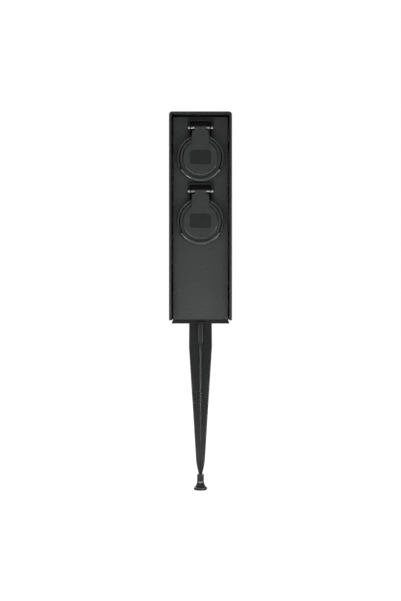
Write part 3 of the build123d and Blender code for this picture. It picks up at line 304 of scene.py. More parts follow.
# a moulded finish: name, darker and lighter shade, width of patches and of grain, depth of grain, roughness
# a metal finish: name, darker and lighter shade, roughness, width of the lines, their depth
# a pixel is 1.2 mm, so grains and lines that are really 0.1 to 0.5 mm wide are drawn 0.6 to 1.5 mm wide
finishes = {
    # powder-coated sheet steel: sprayed and baked, so a fine orange peel
    "powder_coated_metal": mouldedFinish(
        "powderCoatedSheet", "#141515", "#1A1B1B", 4.0, 1.1, 0.035, (0.42, 0.52), shine=0.18),
    # eroded mould surface on ABS: matt, with a mottle of 2 mm that shows as soft speckle
    "housing_plastic": mouldedFinish(
        "grainedAbs", "#0F1010", "#1D1E1E", 2.2, 0.9, 0.06, (0.46, 0.56), shine=0.25),
    # glass-filled polyamide of the base cap, moulded matt; its shades are drawn darker than the panel above
    # it, as painted shade on the cap's skirt
    "baseCapShadedFinish": mouldedFinish(
        "baseCapPaintedShade", "#0A0B0B", "#131414", 2.2, 0.9, 0.03, (0.46, 0.56), shine=0.12),
    # moulded polyamide of the sockets: smoother than the housing, still matt
    "socket_plastic": mouldedFinish(
        "socketPolyamide", "#0C0D0D", "#131414", 5.0, 0.8, 0.02, (0.50, 0.60), shine=0.12),
    # the lids' polyamide: a polished mould, so a low gloss with clear highlights on the lip
    "lid_plastic": mouldedFinish(
        "lidPolyamide", "#151616", "#1B1C1C", 5.0, 0.8, 0.012, (0.22, 0.28), shine=0.27),
    # glass-filled polyamide of the spike: flow lines run down its length, with a low gloss
    "spike_plastic": mouldedFinish(
        "spikePolyamide", "#08090A", "#0F1010", 3.0, 0.9, 0.012, (0.27, 0.33),
        shine=0.15, stretch=(1, 1, 0.12)),
    # moulded PVC of the tip guard: nearly black and glossy, almost no grain
    "guard_plastic": mouldedFinish(
        "guardPvc", "#050506", "#0A0A0B", 6.0, 1.2, 0.03, (0.14, 0.20),
        shine=0.24, stretch=(1, 1, 0.08)),
    # the inlay plate of a lid's field: finer and duller than the lid round it
    "inlay": mouldedFinish(
        "inlayPolyamide", "#0A0B0B", "#0F1010", 5.0, 0.8, 0.01, (0.44, 0.52), shine=0.15),
    # polyamide of the cable gland: moulded with a satin face
    "gland_plastic": mouldedFinish(
        "glandPolyamide", "#141515", "#1B1C1C", 4.0, 0.8, 0.015, (0.34, 0.42), shine=0.4),
    # natural polyamide of the terminal block and contact covers: off-white and nearly matt
    "insulating_plastic": mouldedFinish(
        "terminalPolyamide", "#CFCBC0", "#DBD7CC", 5.0, 0.9, 0.015, (0.42, 0.52)),
    # cured rubber of the seals: matt and even
    "black_rubber": mouldedFinish(
        "sealRubber", "#0C0C0C", "#131313", 4.0, 0.7, 0.02, (0.62, 0.75), ior=1.52, shine=0.3),
    # turned stainless steel of the hinge pins and the outer screws: fine rings round x show as streaks
    "stainless_steel": metalFinish(
        "turnedStainless", "#6C6D6E", "#838382", (0.26, 0.38), 0.6, 0.004, stretch=(8, 1, 1)),
    # drawn spring wire: bright and smooth, grey where it is wound
    "spring_steel": metalFinish("drawnSpringWire", "#777879", "#8F8F8E", (0.20, 0.30), 0.6, 0.003),
    # zinc-plated steel of the inner screws: pale, with a slight cloud
    "zinc_steel": metalFinish("zincPlatedSteel", "#B6BABD", "#C9CCCE", (0.28, 0.40), 0.9, 0.004),
    # stamped brass of the contacts: rolling lines run along x and z
    "brass": metalFinish("stampedBrass", "#C29A48", "#D6B266", (0.24, 0.36), 0.8, 0.004, stretch=(1, 6, 1)),
    # nickel-plated brass of the earth brackets and the bond lug: warm grey and smooth
    "nickelled_brass": metalFinish(
        "nickelledBrass", "#BDBAB2", "#CCC9C1", (0.20, 0.30), 0.8, 0.003, stretch=(1, 6, 1)),
    # extruded PVC of the live wires: plain brown with a soft sheen
    "brown_insulation": mouldedFinish(
        "liveWirePvc", "#54301C", "#633A23", 6.0, 1.5, 0.01, (0.34, 0.42), ior=1.53),
    # the same on the neutral wires, in blue
    "blue_insulation": mouldedFinish(
        "neutralWirePvc", "#1F4F96", "#275DA8", 6.0, 1.5, 0.01, (0.34, 0.42), ior=1.53),
    "green_yellow_insulation": earthInsulation(earthLook),
}
slotOf = {part["node"]: part["material_slot"] for part in record["subparts"]}
for nodeName, node in nodes.items():
    node.data.materials.clear()
    node.data.materials.append(finishes[slotOf[nodeName]])
print("post:", len(finishes), "materials made")


# working helpers
def deselectAll():
    if bpy.context.object and bpy.context.object.mode != "OBJECT":
        bpy.ops.object.mode_set(mode="OBJECT")
    bpy.ops.object.select_all(action="DESELECT")


def makeActive(piece):
    deselectAll()
    piece.select_set(True)
    bpy.context.view_layer.objects.active = piece


def editMode(piece):
    makeActive(piece)
    bpy.ops.object.mode_set(mode="EDIT")


def objectMode():
    bpy.ops.object.mode_set(mode="OBJECT")


def pick(kind, test):
    # selects verts, edges or faces of the piece in edit mode; the test gets places in millimetres
    bpy.ops.mesh.select_mode(type=kind)
    bpy.ops.mesh.select_all(action="DESELECT")
    mesh = bpy.context.object.data
    work = bmesh.from_edit_mesh(mesh)
    if kind == "VERT":
        picked = [vert for vert in work.verts if test(vert.co * 1000)]
    elif kind == "EDGE":
        picked = [edge for edge in work.edges if test(edge.verts[0].co * 1000, edge.verts[1].co * 1000)]
    else:
        picked = [face for face in work.faces if test(face.calc_center_median() * 1000, face.normal)]
    for element in picked:
        element.select_set(True)
    bmesh.update_edit_mesh(mesh)


def weldAll():
    bpy.ops.mesh.select_all(action="SELECT")
    bpy.ops.mesh.remove_doubles(threshold=mm(weldGap))


def turnFacesOut():
    bpy.ops.mesh.select_all(action="SELECT")
    bpy.ops.mesh.normals_make_consistent(inside=False)


def pullOut(reach):
    # extrudes the selected region by a vector in millimetres
    bpy.ops.mesh.extrude_region_move(TRANSFORM_OT_translate={"value": mm(*reach)})


def roundEdges(offset, segments=3):
    bpy.ops.mesh.bevel(offset=mm(offset), segments=segments, profile=0.5, affect="EDGES", clamp_overlap=True)


def addBox(name, low, high):
    deselectAll()
    middle = [(a + b) / 2 for a, b in zip(low, high)]
    size = [abs(b - a) for a, b in zip(low, high)]
    bpy.ops.mesh.primitive_cube_add(size=1, location=mm(*middle), scale=mm(*size))
    piece = bpy.context.object
    piece.name = name
    bpy.ops.object.transform_apply(location=True, rotation=True, scale=True)
    return piece


def drawOutline(name, places, rounds=None):
    # starts from one vertex and extrudes it from place to place; a corner with a rounding is then bevelled
    deselectAll()
    bpy.ops.mesh.primitive_plane_add(size=mm(1), location=mm(*places[0]))
    piece = bpy.context.object
    piece.name = name
    bpy.ops.object.transform_apply(location=True, rotation=True, scale=True)
    bpy.ops.object.mode_set(mode="EDIT")
    bpy.ops.mesh.select_mode(type="VERT")
    bpy.ops.mesh.select_all(action="SELECT")
    bpy.ops.mesh.merge(type="CENTER")
    for before, after in zip(places, places[1:]):
        bpy.ops.mesh.extrude_vertices_move(TRANSFORM_OT_translate={"value": mm(*(after - before))})
    weldAll()
    for place, size in (rounds or {}).values():
        pick("VERT", lambda co: (co - place).length < weldGap)
        bpy.ops.mesh.bevel(offset=mm(size), segments=4, profile=0.5, affect="VERTICES")
    bpy.ops.mesh.select_all(action="SELECT")
    return piece


def turnProfile(name, outline, centre, across, along, size="small", angle=360):
    # an outline of (radius, distance along the axis, rounding), spun round the axis;
    # part of a turn gets its ends filled
    across, along, centre = Vector(across), Vector(along), Vector(centre)
    places = [centre + across * point[0] + along * point[1] for point in outline]
    rounds = {i: (places[i], point[2]) for i, point in enumerate(outline) if len(point) > 2}
    piece = drawOutline(name, places, rounds)
    if angle < 360:
        bpy.ops.mesh.edge_face_add()
    bpy.ops.mesh.spin(steps=turnSteps[size], angle=radians(angle), center=mm(*centre), axis=tuple(along))
    weldAll()
    turnFacesOut()
    objectMode()
    return piece


def extrudeOutline(name, places, reach, rounds=None):
    # a closed outline, filled and pulled out by the vector reach; rounds gives the roundings of its corners
    places = [Vector(place) for place in places]
    rounded = {i: (places[i], size) for i, size in (rounds or {}).items()}
    piece = drawOutline(name, places + [places[0]], rounded)
    bpy.ops.mesh.edge_face_add()
    pullOut(reach)
    turnFacesOut()
    objectMode()
    return piece


def useModifier(piece, kind, **settings):
    makeActive(piece)
    modifier = piece.modifiers.new(kind.lower(), kind)
    for key, value in settings.items():
        setattr(modifier, key, value)
    bpy.ops.object.modifier_apply(modifier=modifier.name)


def cutAway(piece, cutter, operation="DIFFERENCE"):
    useModifier(piece, "BOOLEAN", object=cutter, operation=operation, solver="EXACT")
    bpy.data.objects.remove(cutter)


def smoothShading(piece, angle=32):
    # edges sharper than the angle stay sharp
    makeActive(piece)
    bpy.ops.object.shade_smooth_by_angle(angle=radians(angle))
    useModifier(piece, "WEIGHTED_NORMAL", keep_sharp=True, weight=60)


def copyPiece(piece, name, shift=(0, 0, 0)):
    # a copy with its own mesh, moved in edit mode so that its object stays at the origin
    makeActive(piece)
    bpy.ops.object.duplicate(linked=False)
    copy = bpy.context.object
    copy.name = name
    editMode(copy)
    bpy.ops.mesh.select_all(action="SELECT")
    bpy.ops.transform.translate(value=mm(*shift))
    objectMode()
    return copy


def copyNode(nodeName, name):
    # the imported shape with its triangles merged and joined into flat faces, then shaded smooth
    piece = nodes[nodeName].copy()
    piece.data = nodes[nodeName].data.copy()
    scene.collection.objects.link(piece)
    piece.parent = None
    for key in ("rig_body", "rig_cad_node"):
        if key in piece:
            del piece[key]
    piece.name = name
    editMode(piece)
    weldAll()
    bpy.ops.mesh.dissolve_limited(angle_limit=radians(0.4))
    objectMode()
    smoothShading(piece)
    return piece


def putInPlace(piece, body, nodeName, slotName=None, finish=None):
    # gives the piece the finish of its slot, hides the imported node that it stands in for and ties the piece
    # to its body
    slotName = slotName or slotOf[nodeName]
    piece.data.materials.clear()
    piece.data.materials.append(finishes[finish or slotName])
    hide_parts(nodeName)
    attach(piece, body)


# floor: white paper that also glows a little, so that it fades into the surround
floorPlan = {"height": -204.4, "half": 6000, "paper": "#F4F4F4", "glow": 1.32, "glowShare": 0.75}

deselectAll()
bpy.ops.mesh.primitive_plane_add(size=mm(2 * floorPlan["half"]), location=mm(0, 0, floorPlan["height"]))
studioFloor = bpy.context.object
studioFloor.name = "studioFloor"
paper, tree, place = newMaterial("studioPaper")
share = addNode(
    tree, "ShaderNodeMath", {"operation": "MULTIPLY", 1: floorPlan["glowShare"]}, {0: seenDirectly(tree)})
matt = addNode(tree, "ShaderNodeBsdfDiffuse", {"Color": hexColor(floorPlan["paper"])})
glow = addNode(tree, "ShaderNodeEmission", {"Color": (1, 1, 1, 1), "Strength": floorPlan["glow"]})
mixed = addNode(
    tree, "ShaderNodeMixShader", None, {0: share.outputs[0], 1: matt.outputs[0], 2: glow.outputs[0]})
addNode(tree, "ShaderNodeOutputMaterial", None, {"Surface": mixed.outputs[0]})
studioFloor.data.materials.append(paper)
studioFloor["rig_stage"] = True


# hood: folded sheet, open in front, behind and below
hoodPlan = {
    "half": 37.5, "low": 3.9, "top": 252.7, "wall": 2.8, "cornerRound": 3.8, "rimRound": 0.9,
    "screwHeights": (42.0, 215.0), "sinkRadius": 2.8, "holeRadius": 1.75, "cutClear": 1,
    "bossPlace": (-8.5, 46.0), "bossLong": 1.7, "bossRadius": 3.4, "bossHole": 1.55, "bossRound": 0.2,
    "bossSunk": 0.4, "bossFloor": 0.3,
}


def makeHood(plan):
    half, low, top, wall = plan["half"], plan["low"], plan["top"], plan["wall"]
    hood = addBox("hoodShell", (-half, -half, low), (half, half, top))
    editMode(hood)
    pick("FACE", lambda middle, normal: abs(normal.y) > 0.9 or normal.z < -0.9)
    bpy.ops.mesh.delete(type="FACE")
    objectMode()
    useModifier(hood, "SOLIDIFY", thickness=mm(wall), offset=-1, use_even_offset=True)
    editMode(hood)
    # the fold between the roof and each side
    pick("EDGE", lambda a, b: (
        min(abs(a.x), abs(b.x)) > half - pickGap and min(a.z, b.z) > top - pickGap and abs(a.y - b.y) > 1))
    roundEdges(plan["cornerRound"], 8)
    # the front and the rear rim, but not the foot
    pick("EDGE", lambda a, b: (
        max(abs(abs(a.y) - half), abs(abs(b.y) - half), abs(a.y - b.y)) < pickGap
        and max(a.z, b.z) >= low + pickGap))
    work = bmesh.from_edit_mesh(hood.data)
    for edge in work.edges:
        # the rim's short corner joints between the outer and the inner line stay as they are
        if edge.select and len(edge.link_faces) == 2:
            if min(abs(face.normal.y) for face in edge.link_faces) > 0.9:
                edge.select_set(False)
    bmesh.update_edit_mesh(hood.data)
    roundEdges(plan["rimRound"], 4)
    objectMode()

    # countersunk screw holes in the sides
    wide, thin, clear = plan["sinkRadius"], plan["holeRadius"], plan["cutClear"]
    sink = [(0, -clear), (wide, -clear), (wide, 0),
            (thin, wide - thin), (thin, wall + clear), (0, wall + clear)]
    for side in (-1, 1):
        for height in plan["screwHeights"]:
            place = (side * half, 0, height)
            cutAway(hood, turnProfile("screwSink", sink, place, (0, 0, 1), (-side, 0, 0), "knuckle"))

    # welded boss for the earth bond's screw, inside the right wall
    y, z = plan["bossPlace"]
    outer, hole, high = plan["bossRadius"], plan["bossHole"], plan["bossLong"]
    boss = turnProfile(
        "bondBoss",
        [(0, -plan["bossSunk"]), (outer, -plan["bossSunk"]), (outer, high, plan["bossRound"]), (hole, high),
         (hole, -plan["bossFloor"]), (0, -plan["bossFloor"])],
        (half - wall, y, z), (0, 0, 1), (-1, 0, 0))
    cutAway(hood, boss, "UNION")
    smoothShading(hood, angle=30)
    return hood


hood = makeHood(hoodPlan)
putInPlace(hood, "post", "hood")
print("post: hood", len(hood.data.polygons), "faces")

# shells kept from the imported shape, shaded smooth
postShells = {
    "inner_housing": "innerShell", "rear_cover": "rearCover", "rear_gasket": "rearGasket",
    "base_cap": "baseCap", "gland_body": "glandBody", "gland_washer": "glandWasher",
    "gland_cap_nut": "glandCapNut", "gland_seal": "glandSeal", "live_wires": "liveWires",
    "neutral_wires": "neutralWires", "earth_wires": "earthWires", "bond_wire": "bondWire",
}
socketShells = {
    "socket_body": "SocketBody", "socket_insert": "SocketInsert", "flange_gasket": "FlangeGasket",
    "locking_ring": "LockingRing",
}
# the base cap's darker finish is painted shade on its skirt
ownFinish = {"base_cap": "baseCapShadedFinish"}

for nodeName, name in postShells.items():
    putInPlace(copyNode(nodeName, name), "post", nodeName, finish=ownFinish.get(nodeName))
for level in ("upper", "lower"):
    for part, name in socketShells.items():
        putInPlace(copyNode(f"{level}_{part}", level + name), "post", f"{level}_{part}")
print("post: shells shaded")


# ground spike: the boss for its bolt ends square between the webs
spikePlan = {"webSide": 0.85, "bossSide": 5.0, "bossLow": -27.0, "bossEnd": -23.3}


def makeSpike(plan):
    spike = copyNode("ground_spike", "groundSpike")
    for right, back in ((1, 1), (1, -1), (-1, 1), (-1, -1)):
        inner = (right * plan["webSide"], back * plan["webSide"], plan["bossLow"])
        outer = (right * plan["bossSide"], back * plan["bossSide"], plan["bossEnd"])
        cutAway(spike, addBox("bossCut", inner, outer))
    smoothShading(spike)
    return spike


putInPlace(makeSpike(spikePlan), "post", "ground_spike")
print("post: ground spike")


# tip guard: turned trumpet with a crease over its rim and a shallow hollow under it
guardPlan = {
    "top": -184.3, "neck": 4.2, "neckLow": -192.1, "neckRound": 0.5,
    "bore": 2.0, "boreLow": -198.2, "boreRound": 0.15, "flare": 6.7, "flareLow": -199.6, "flareSteps": 8,
    "crease": 6.5, "creaseLow": -200.0, "creaseHigh": 0.25, "rim": 8.35, "low": -203.7, "rimRound": 1.3,
    "footWall": 2.2, "footRound": 0.3, "hollowWall": 2.6, "hollowDeep": 0.5, "hollowRound": 0.2,
}


def makeTipGuard(plan):
    neck, neckLow, rim, foot = plan["neck"], plan["neckLow"], plan["rim"], plan["low"]
    outline = [(0, plan["boreLow"]), (plan["bore"], plan["boreLow"]),
               (plan["bore"], plan["top"], plan["boreRound"]), (neck, plan["top"], plan["neckRound"]),
               (neck, neckLow)]
    # the trumpet's arc leaves the neck upright and spreads to the flare
    drop, spread = neckLow - plan["flareLow"], plan["flare"] - neck
    turn = (drop ** 2 + spread ** 2) / (2 * spread)
    full = atan2(drop, turn - spread)
    for step in range(1, plan["flareSteps"] + 1):
        angle = full * step / plan["flareSteps"]
        outline.append((neck + turn * (1 - cos(angle)), neckLow - turn * sin(angle)))
    outline += [
        (plan["crease"], plan["creaseLow"] + plan["creaseHigh"]), (plan["crease"], plan["creaseLow"]),
        (rim, plan["creaseLow"], plan["rimRound"]), (rim, foot, plan["rimRound"]),
        (rim - plan["footWall"], foot, plan["footRound"]),
        (rim - plan["hollowWall"], foot + plan["hollowDeep"], plan["hollowRound"]),
        (0, foot + plan["hollowDeep"])]
    guard = turnProfile("tipGuard", outline, (0, 0, 0), (1, 0, 0), (0, 0, 1), "guard")
    smoothShading(guard, angle=40)
    return guard


tipGuard = makeTipGuard(guardPlan)
putInPlace(tipGuard, "tip_guard_body", "tip_guard")
print("post: tip guard", len(tipGuard.data.polygons), "faces")

# sockets: both are the same, one above the other; heights are those of the lids' middles
socketPlan = {"panel": -26.5, "upper": 198.2, "lower": 122.3, "hingeRise": 35.8, "hingeStand": 5.6}
pitch = socketPlan["lower"] - socketPlan["upper"]


def panelPlace(centre, x, h, level):
    # from a socket's own frame (right, up, out of the panel) to the post's
    return Vector((x, socketPlan["panel"] - level, centre + h))


def hingePlace(centre):
    return panelPlace(centre, 0, socketPlan["hingeRise"], socketPlan["hingeStand"])


# flanges and their collars
collarPlan = {
    "plate": 2.6, "inner": 25.8, "outer": 27.9, "face": 6.9, "edgeRound": 0.7, "endAngle": 24.6,
    "neckHalf": 11.7, "neckFrom": 19.6, "clear": 0.25, "cutClear": 1,
}


def makeCollar(plan, centre):
    # the raised wall round the lid: its section is spun from the left end over the top to the right end
    inner, outer, plate, face = plan["inner"], plan["outer"], plan["plate"], plan["face"]
    soft = plan["edgeRound"]
    start = radians(180 + plan["endAngle"])
    collar = turnProfile(
        "socketCollar",
        [(inner, plate), (outer, plate), (outer, face, soft), (inner, face, soft), (inner, plate)],
        panelPlace(centre, 0, 0, 0), (cos(start), 0, sin(start)), (0, -1, 0),
        "collar", 180 + 2 * plan["endAngle"])
    neckLow = panelPlace(centre, -plan["neckHalf"], plan["neckFrom"], face + plan["cutClear"])
    neckHigh = panelPlace(centre, plan["neckHalf"], outer + plan["cutClear"], plate - plan["cutClear"])
    cutAway(collar, addBox("collarNeck", neckLow, neckHigh))
    smoothShading(collar, angle=40)
    return collar


def makeFlange(plan, nodeName, name, centre):
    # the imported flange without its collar
    flange = copyNode(nodeName, name)
    low, high = plan["inner"] - plan["clear"], plan["outer"] + plan["clear"]
    foot, top = plan["plate"], plan["face"] + plan["cutClear"]
    cutAway(flange, turnProfile(
        "collarSpace", [(low, foot), (high, foot), (high, top), (low, top), (low, foot)],
        panelPlace(centre, 0, 0, 0), (1, 0, 0), (0, -1, 0), "disc"))
    smoothShading(flange)
    return flange


upperCollar = makeCollar(collarPlan, socketPlan["upper"])
upperCollar.name = "upperCollar"
lowerCollar = copyPiece(upperCollar, "lowerCollar", (0, 0, pitch))
for level, collar in (("upper", upperCollar), ("lower", lowerCollar)):
    nodeName = f"{level}_socket_flange"
    putInPlace(makeFlange(collarPlan, nodeName, level + "SocketFlange", socketPlan[level]), "post", nodeName)
    putInPlace(collar, "post", nodeName, slotName="lid_plastic")
print("post: flanges and collars")


# lids: disc, finger lip, strap, knuckle and field; the strap's outline is (half width, height, rounding)
lidPlan = {
    "radius": 24.5, "back": 4.2, "face": 6.2, "backRound": 0.2, "edgeRound": 0.6, "cutClear": 1,
    "sealOut": 21.9, "sealIn": 19.3, "sealDeep": 0.8, "sealRound": 0.15,
    "grooveOut": 22.5, "grooveDeep": 0.6, "grooveTopRound": 0.2, "grooveRound": 0.15,
    "domeFoot": 21.3, "domeTop": 20.1, "domeFace": 7.4, "domeRound": 0.45,
    "channelIn": 22.3, "channelDeep": 1.4, "channelPast": 2,
    "lipIn": 24.2, "lipOut": 28.5, "lipLow": 3.4, "lipTop": 7.4, "lipFoot": 22.1, "lipFrom": 328,
    "lipSweep": 116, "lipRound": 2.8, "lipInRound": 0.7, "lipFootRound": 0.3, "lipEndRound": 0.25,
    "strapOutline": [
        (9.7, 32.4), (10.1, 31.4, 0.4), (10.4, 29.2, 1.2), (10.6, 25.6, 1.2),
        (10.9, 23.4, 1.2), (10.8, 20.2, 1.2), (10.2, 17.4), (10.2, 9.2)],
    "strapLow": 7.7, "strapHigh": 8.1, "strapRound": 0.35,
    "knuckle": 2.8, "knuckleHalf": 6.9, "knuckleRound": 0.3, "webLap": 0.6, "webInset": 0.02,
    "bore": 1.3, "borePast": 4,
    "fieldWidth": 25.0, "fieldHigh": 16.8, "fieldRound": 3.0, "fieldShift": 1.0, "fieldDeep": 0.6,
    "fieldWall": 0.35, "fieldChamfer": 0.35, "fieldPast": 3,
    "inlayGap": 0.15, "inlayThick": 0.2, "inlayRound": 0.08,
}


def fieldOutline(plan, name, centre, gap, reach):
    # the field's rounded rectangle, smaller by the gap, pulled out from the floor of its recess
    half, high = plan["fieldWidth"] / 2 - gap, plan["fieldHigh"] / 2 - gap
    floor = plan["domeFace"] - plan["fieldDeep"]
    corners = [(half, high), (half, -high), (-half, -high), (-half, high)]
    return extrudeOutline(
        name, [panelPlace(centre, x, plan["fieldShift"] + h, floor) for x, h in corners], (0, -reach, 0),
        {i: plan["fieldRound"] - gap for i in range(4)})


def makeInlay(plan, centre):
    # the plate in the field's recess, a little smaller than the recess and with its rim broken
    inlay = fieldOutline(plan, "lidInlay", centre, plan["inlayGap"], plan["inlayThick"])
    editMode(inlay)
    face = socketPlan["panel"] - (plan["domeFace"] - plan["fieldDeep"]) - plan["inlayThick"]
    pick("EDGE", lambda a, b: max(a.y, b.y) < face + pickGap)
    roundEdges(plan["inlayRound"], 2)
    objectMode()
    smoothShading(inlay, angle=40)
    return inlay


def addStrap(lid, plan, centre):
    # strap: its outline widens a little towards the disc, and a sloping cut gives it its face
    right = plan["strapOutline"]
    outline = right + [(-point[0], *point[1:]) for point in reversed(right)]
    strap = extrudeOutline(
        "lidStrap", [panelPlace(centre, point[0], point[1], plan["back"]) for point in outline],
        (0, plan["back"] - plan["strapHigh"] - plan["cutClear"], 0),
        {i: point[2] for i, point in enumerate(outline) if len(point) > 2})
    top, foot = right[0][1], right[-1][1]
    slope = Vector((0, foot - top, plan["strapLow"] - plan["strapHigh"])).normalized()
    front = panelPlace(centre, 0, foot, plan["strapLow"])
    editMode(strap)
    bpy.ops.mesh.select_all(action="SELECT")
    bpy.ops.mesh.bisect(plane_co=mm(*front), plane_no=tuple(slope), use_fill=True, clear_outer=True)
    pick("EDGE", lambda a, b: max(abs((a - front).dot(slope)), abs((b - front).dot(slope))) < pickGap)
    roundEdges(plan["strapRound"], 3)
    objectMode()
    cutAway(lid, strap, "UNION")


def makeLid(plan, centre):
    hub = panelPlace(centre, 0, 0, 0)
    right, out, up = (1, 0, 0), (0, -1, 0), (0, 0, 1)
    back, face, radius = plan["back"], plan["face"], plan["radius"]
    sealFloor, grooveFloor = back + plan["sealDeep"], face - plan["grooveDeep"]
    lid = turnProfile(
        "lidDisc",
        [(0, back), (plan["sealIn"], back, plan["sealRound"]), (plan["sealIn"], sealFloor),
         (plan["sealOut"], sealFloor), (plan["sealOut"], back), (radius, back, plan["backRound"]),
         (radius, face, plan["edgeRound"]), (plan["grooveOut"], face, plan["grooveTopRound"]),
         (plan["grooveOut"], grooveFloor, plan["grooveRound"]),
         (plan["domeFoot"], grooveFloor, plan["grooveRound"]), (plan["domeFoot"], face),
         (plan["domeTop"], plan["domeFace"], plan["domeRound"]), (0, plan["domeFace"])],
        hub, up, out, "disc")

    # the channel inside the finger lip, then the lip; both are drawn at its right end and spun to the left
    ends = [radians(plan["lipFrom"]), radians(plan["lipFrom"] - plan["lipSweep"])]
    radial = (cos(ends[0]), 0, sin(ends[0]))
    floor, top = face - plan["channelDeep"], face + plan["cutClear"]
    low, high = plan["channelIn"], radius + plan["channelPast"]
    cutAway(lid, turnProfile(
        "lidChannel", [(low, floor), (high, floor), (high, top), (low, top), (low, floor)],
        hub, radial, out, "lip", plan["lipSweep"]))
    lip = turnProfile(
        "lidLip",
        [(plan["lipFoot"], plan["lipLow"]), (plan["lipFoot"], floor),
         (plan["lipIn"], floor, plan["lipFootRound"]), (plan["lipIn"], plan["lipTop"], plan["lipInRound"]),
         (plan["lipOut"], plan["lipTop"], plan["lipRound"]),
         (plan["lipOut"], plan["lipLow"], plan["lipFootRound"]), (plan["lipFoot"], plan["lipLow"])],
        hub, radial, out, "lip", plan["lipSweep"])
    editMode(lip)
    across = [Vector((-sin(turn), 0, cos(turn))) for turn in ends]
    pick("FACE", lambda middle, normal: min(abs((middle - hub).dot(side)) for side in across) < 5 * pickGap)
    bpy.ops.mesh.region_to_loop()
    roundEdges(plan["lipEndRound"], 2)
    objectMode()
    cutAway(lid, lip, "UNION")
    addStrap(lid, plan, centre)

    # knuckle, its web to the strap, and the pin's bore
    axle = hingePlace(centre)
    wide, thick, soft = plan["knuckleHalf"], plan["knuckle"], plan["knuckleRound"]
    strapTop = plan["strapOutline"][0][1]
    knuckle = turnProfile(
        "lidKnuckle", [(0, -wide), (thick, -wide, soft), (thick, wide, soft), (0, wide)],
        axle, up, right, "knuckle")
    webLow = panelPlace(centre, -wide, strapTop - plan["webLap"], plan["strapHigh"] - plan["webInset"])
    webHigh = panelPlace(centre, wide, socketPlan["hingeRise"], back)
    cutAway(knuckle, addBox("lidWeb", webLow, webHigh), "UNION")
    cutAway(lid, knuckle, "UNION")
    bore, reach = plan["bore"], wide + plan["borePast"]
    cutAway(lid, turnProfile(
        "lidBore", [(0, -reach), (bore, -reach), (bore, reach), (0, reach)], axle, up, right))

    # the bare field: a rounded recess with a chamfered rim
    field = fieldOutline(plan, "lidField", centre, 0, plan["fieldWall"])
    rimLevel = hub.y - (plan["domeFace"] - plan["fieldDeep"]) - plan["fieldWall"]
    wider = [1 + plan["fieldChamfer"] / (plan[size] / 2) for size in ("fieldWidth", "fieldHigh")]
    editMode(field)
    pick("FACE", lambda middle, normal: middle.y < rimLevel + pickGap and abs(normal.y) > 0.9)
    pullOut((0, -plan["fieldChamfer"], 0))
    bpy.ops.transform.resize(
        value=(wider[0], 1, wider[1]), center_override=mm(*panelPlace(centre, 0, plan["fieldShift"], 0)))
    pullOut((0, -plan["fieldPast"], 0))
    turnFacesOut()
    objectMode()
    cutAway(lid, field)
    smoothShading(lid, angle=34)
    return lid


upperLid = makeLid(lidPlan, socketPlan["upper"])
upperLid.name = "upperLid"
lowerLid = copyPiece(upperLid, "lowerLid", (0, 0, pitch))
upperInlay = makeInlay(lidPlan, socketPlan["upper"])
upperInlay.name = "upperInlay"
lowerInlay = copyPiece(upperInlay, "lowerInlay", (0, 0, pitch))
print("post: lids", len(upperLid.data.polygons), "faces each")

# hinge pins: turned, a head at each end
pinPlan = {
    "radius": 1.25, "reach": 12.4, "head": 1.7, "headLong": 2.8, "headRound": 0.5, "shoulderRound": 0.12,
}


def makeHingePin(plan, centre):
    thin, head, reach = plan["radius"], plan["head"], plan["reach"]
    end = reach + plan["headLong"]
    half = [(thin, reach), (head, reach, plan["shoulderRound"]), (head, end, plan["headRound"]), (0, end)]
    outline = [(point[0], -point[1], *point[2:]) for point in reversed(half)] + half
    pin = turnProfile("hingePin", outline, hingePlace(centre), (0, 0, 1), (1, 0, 0))
    smoothShading(pin, angle=40)
    return pin


upperPin = makeHingePin(pinPlan, socketPlan["upper"])
upperPin.name = "upperHingePin"
lowerPin = copyPiece(upperPin, "lowerHingePin", (0, 0, pitch))

for level, lid, inlay, pin in (
        ("upper", upperLid, upperInlay, upperPin), ("lower", lowerLid, lowerInlay, lowerPin)):
    putInPlace(lid, f"{level}_lid_body", f"{level}_lid")
    putInPlace(inlay, f"{level}_lid_body", f"{level}_lid", finish="inlay")
    putInPlace(pin, "post", f"{level}_hinge_pin")
    putInPlace(copyNode(f"{level}_lid_seal", level + "LidSeal"), f"{level}_lid_body", f"{level}_lid_seal")

# closing springs: a ring of the wire's section wound by a screw; this is the bare coil, with no legs
# and with its two ends open
springPlan = {
    "wire": 0.3, "wireSides": 12, "coil": 1.8, "pitch": 1.05, "turns": 3.25, "turnSteps": 30, "start": 10.8,
}


def makeSpring(plan, centre, side):
    startX = side * plan["start"]
    travel, steps = plan["pitch"] * plan["turns"], ceil(plan["turnSteps"] * plan["turns"])
    deselectAll()
    bpy.ops.mesh.primitive_circle_add(
        vertices=plan["wireSides"], radius=mm(plan["wire"]), fill_type="NOTHING",
        rotation=(radians(90), 0, 0), location=mm(startX, 0, plan["coil"]))
    spring = bpy.context.object
    bpy.ops.object.transform_apply(location=True, rotation=True, scale=True)
    useModifier(
        spring, "SCREW", axis="X", angle=radians(360 * plan["turns"]), screw_offset=mm(-side * travel),
        steps=steps, render_steps=steps, use_merge_vertices=False)
    editMode(spring)
    bpy.ops.mesh.select_all(action="SELECT")
    bpy.ops.transform.translate(value=mm(*hingePlace(centre)))
    weldAll()
    turnFacesOut()
    objectMode()
    makeActive(spring)
    bpy.ops.object.shade_smooth_by_angle(angle=radians(50))
    # the middles of the coil's first and last section
    foot = hingePlace(centre) + Vector((startX, 0, plan["coil"]))
    toe = hingePlace(centre) + Vector((side * (plan["start"] - travel), -plan["coil"], 0))
    return spring, foot, toe


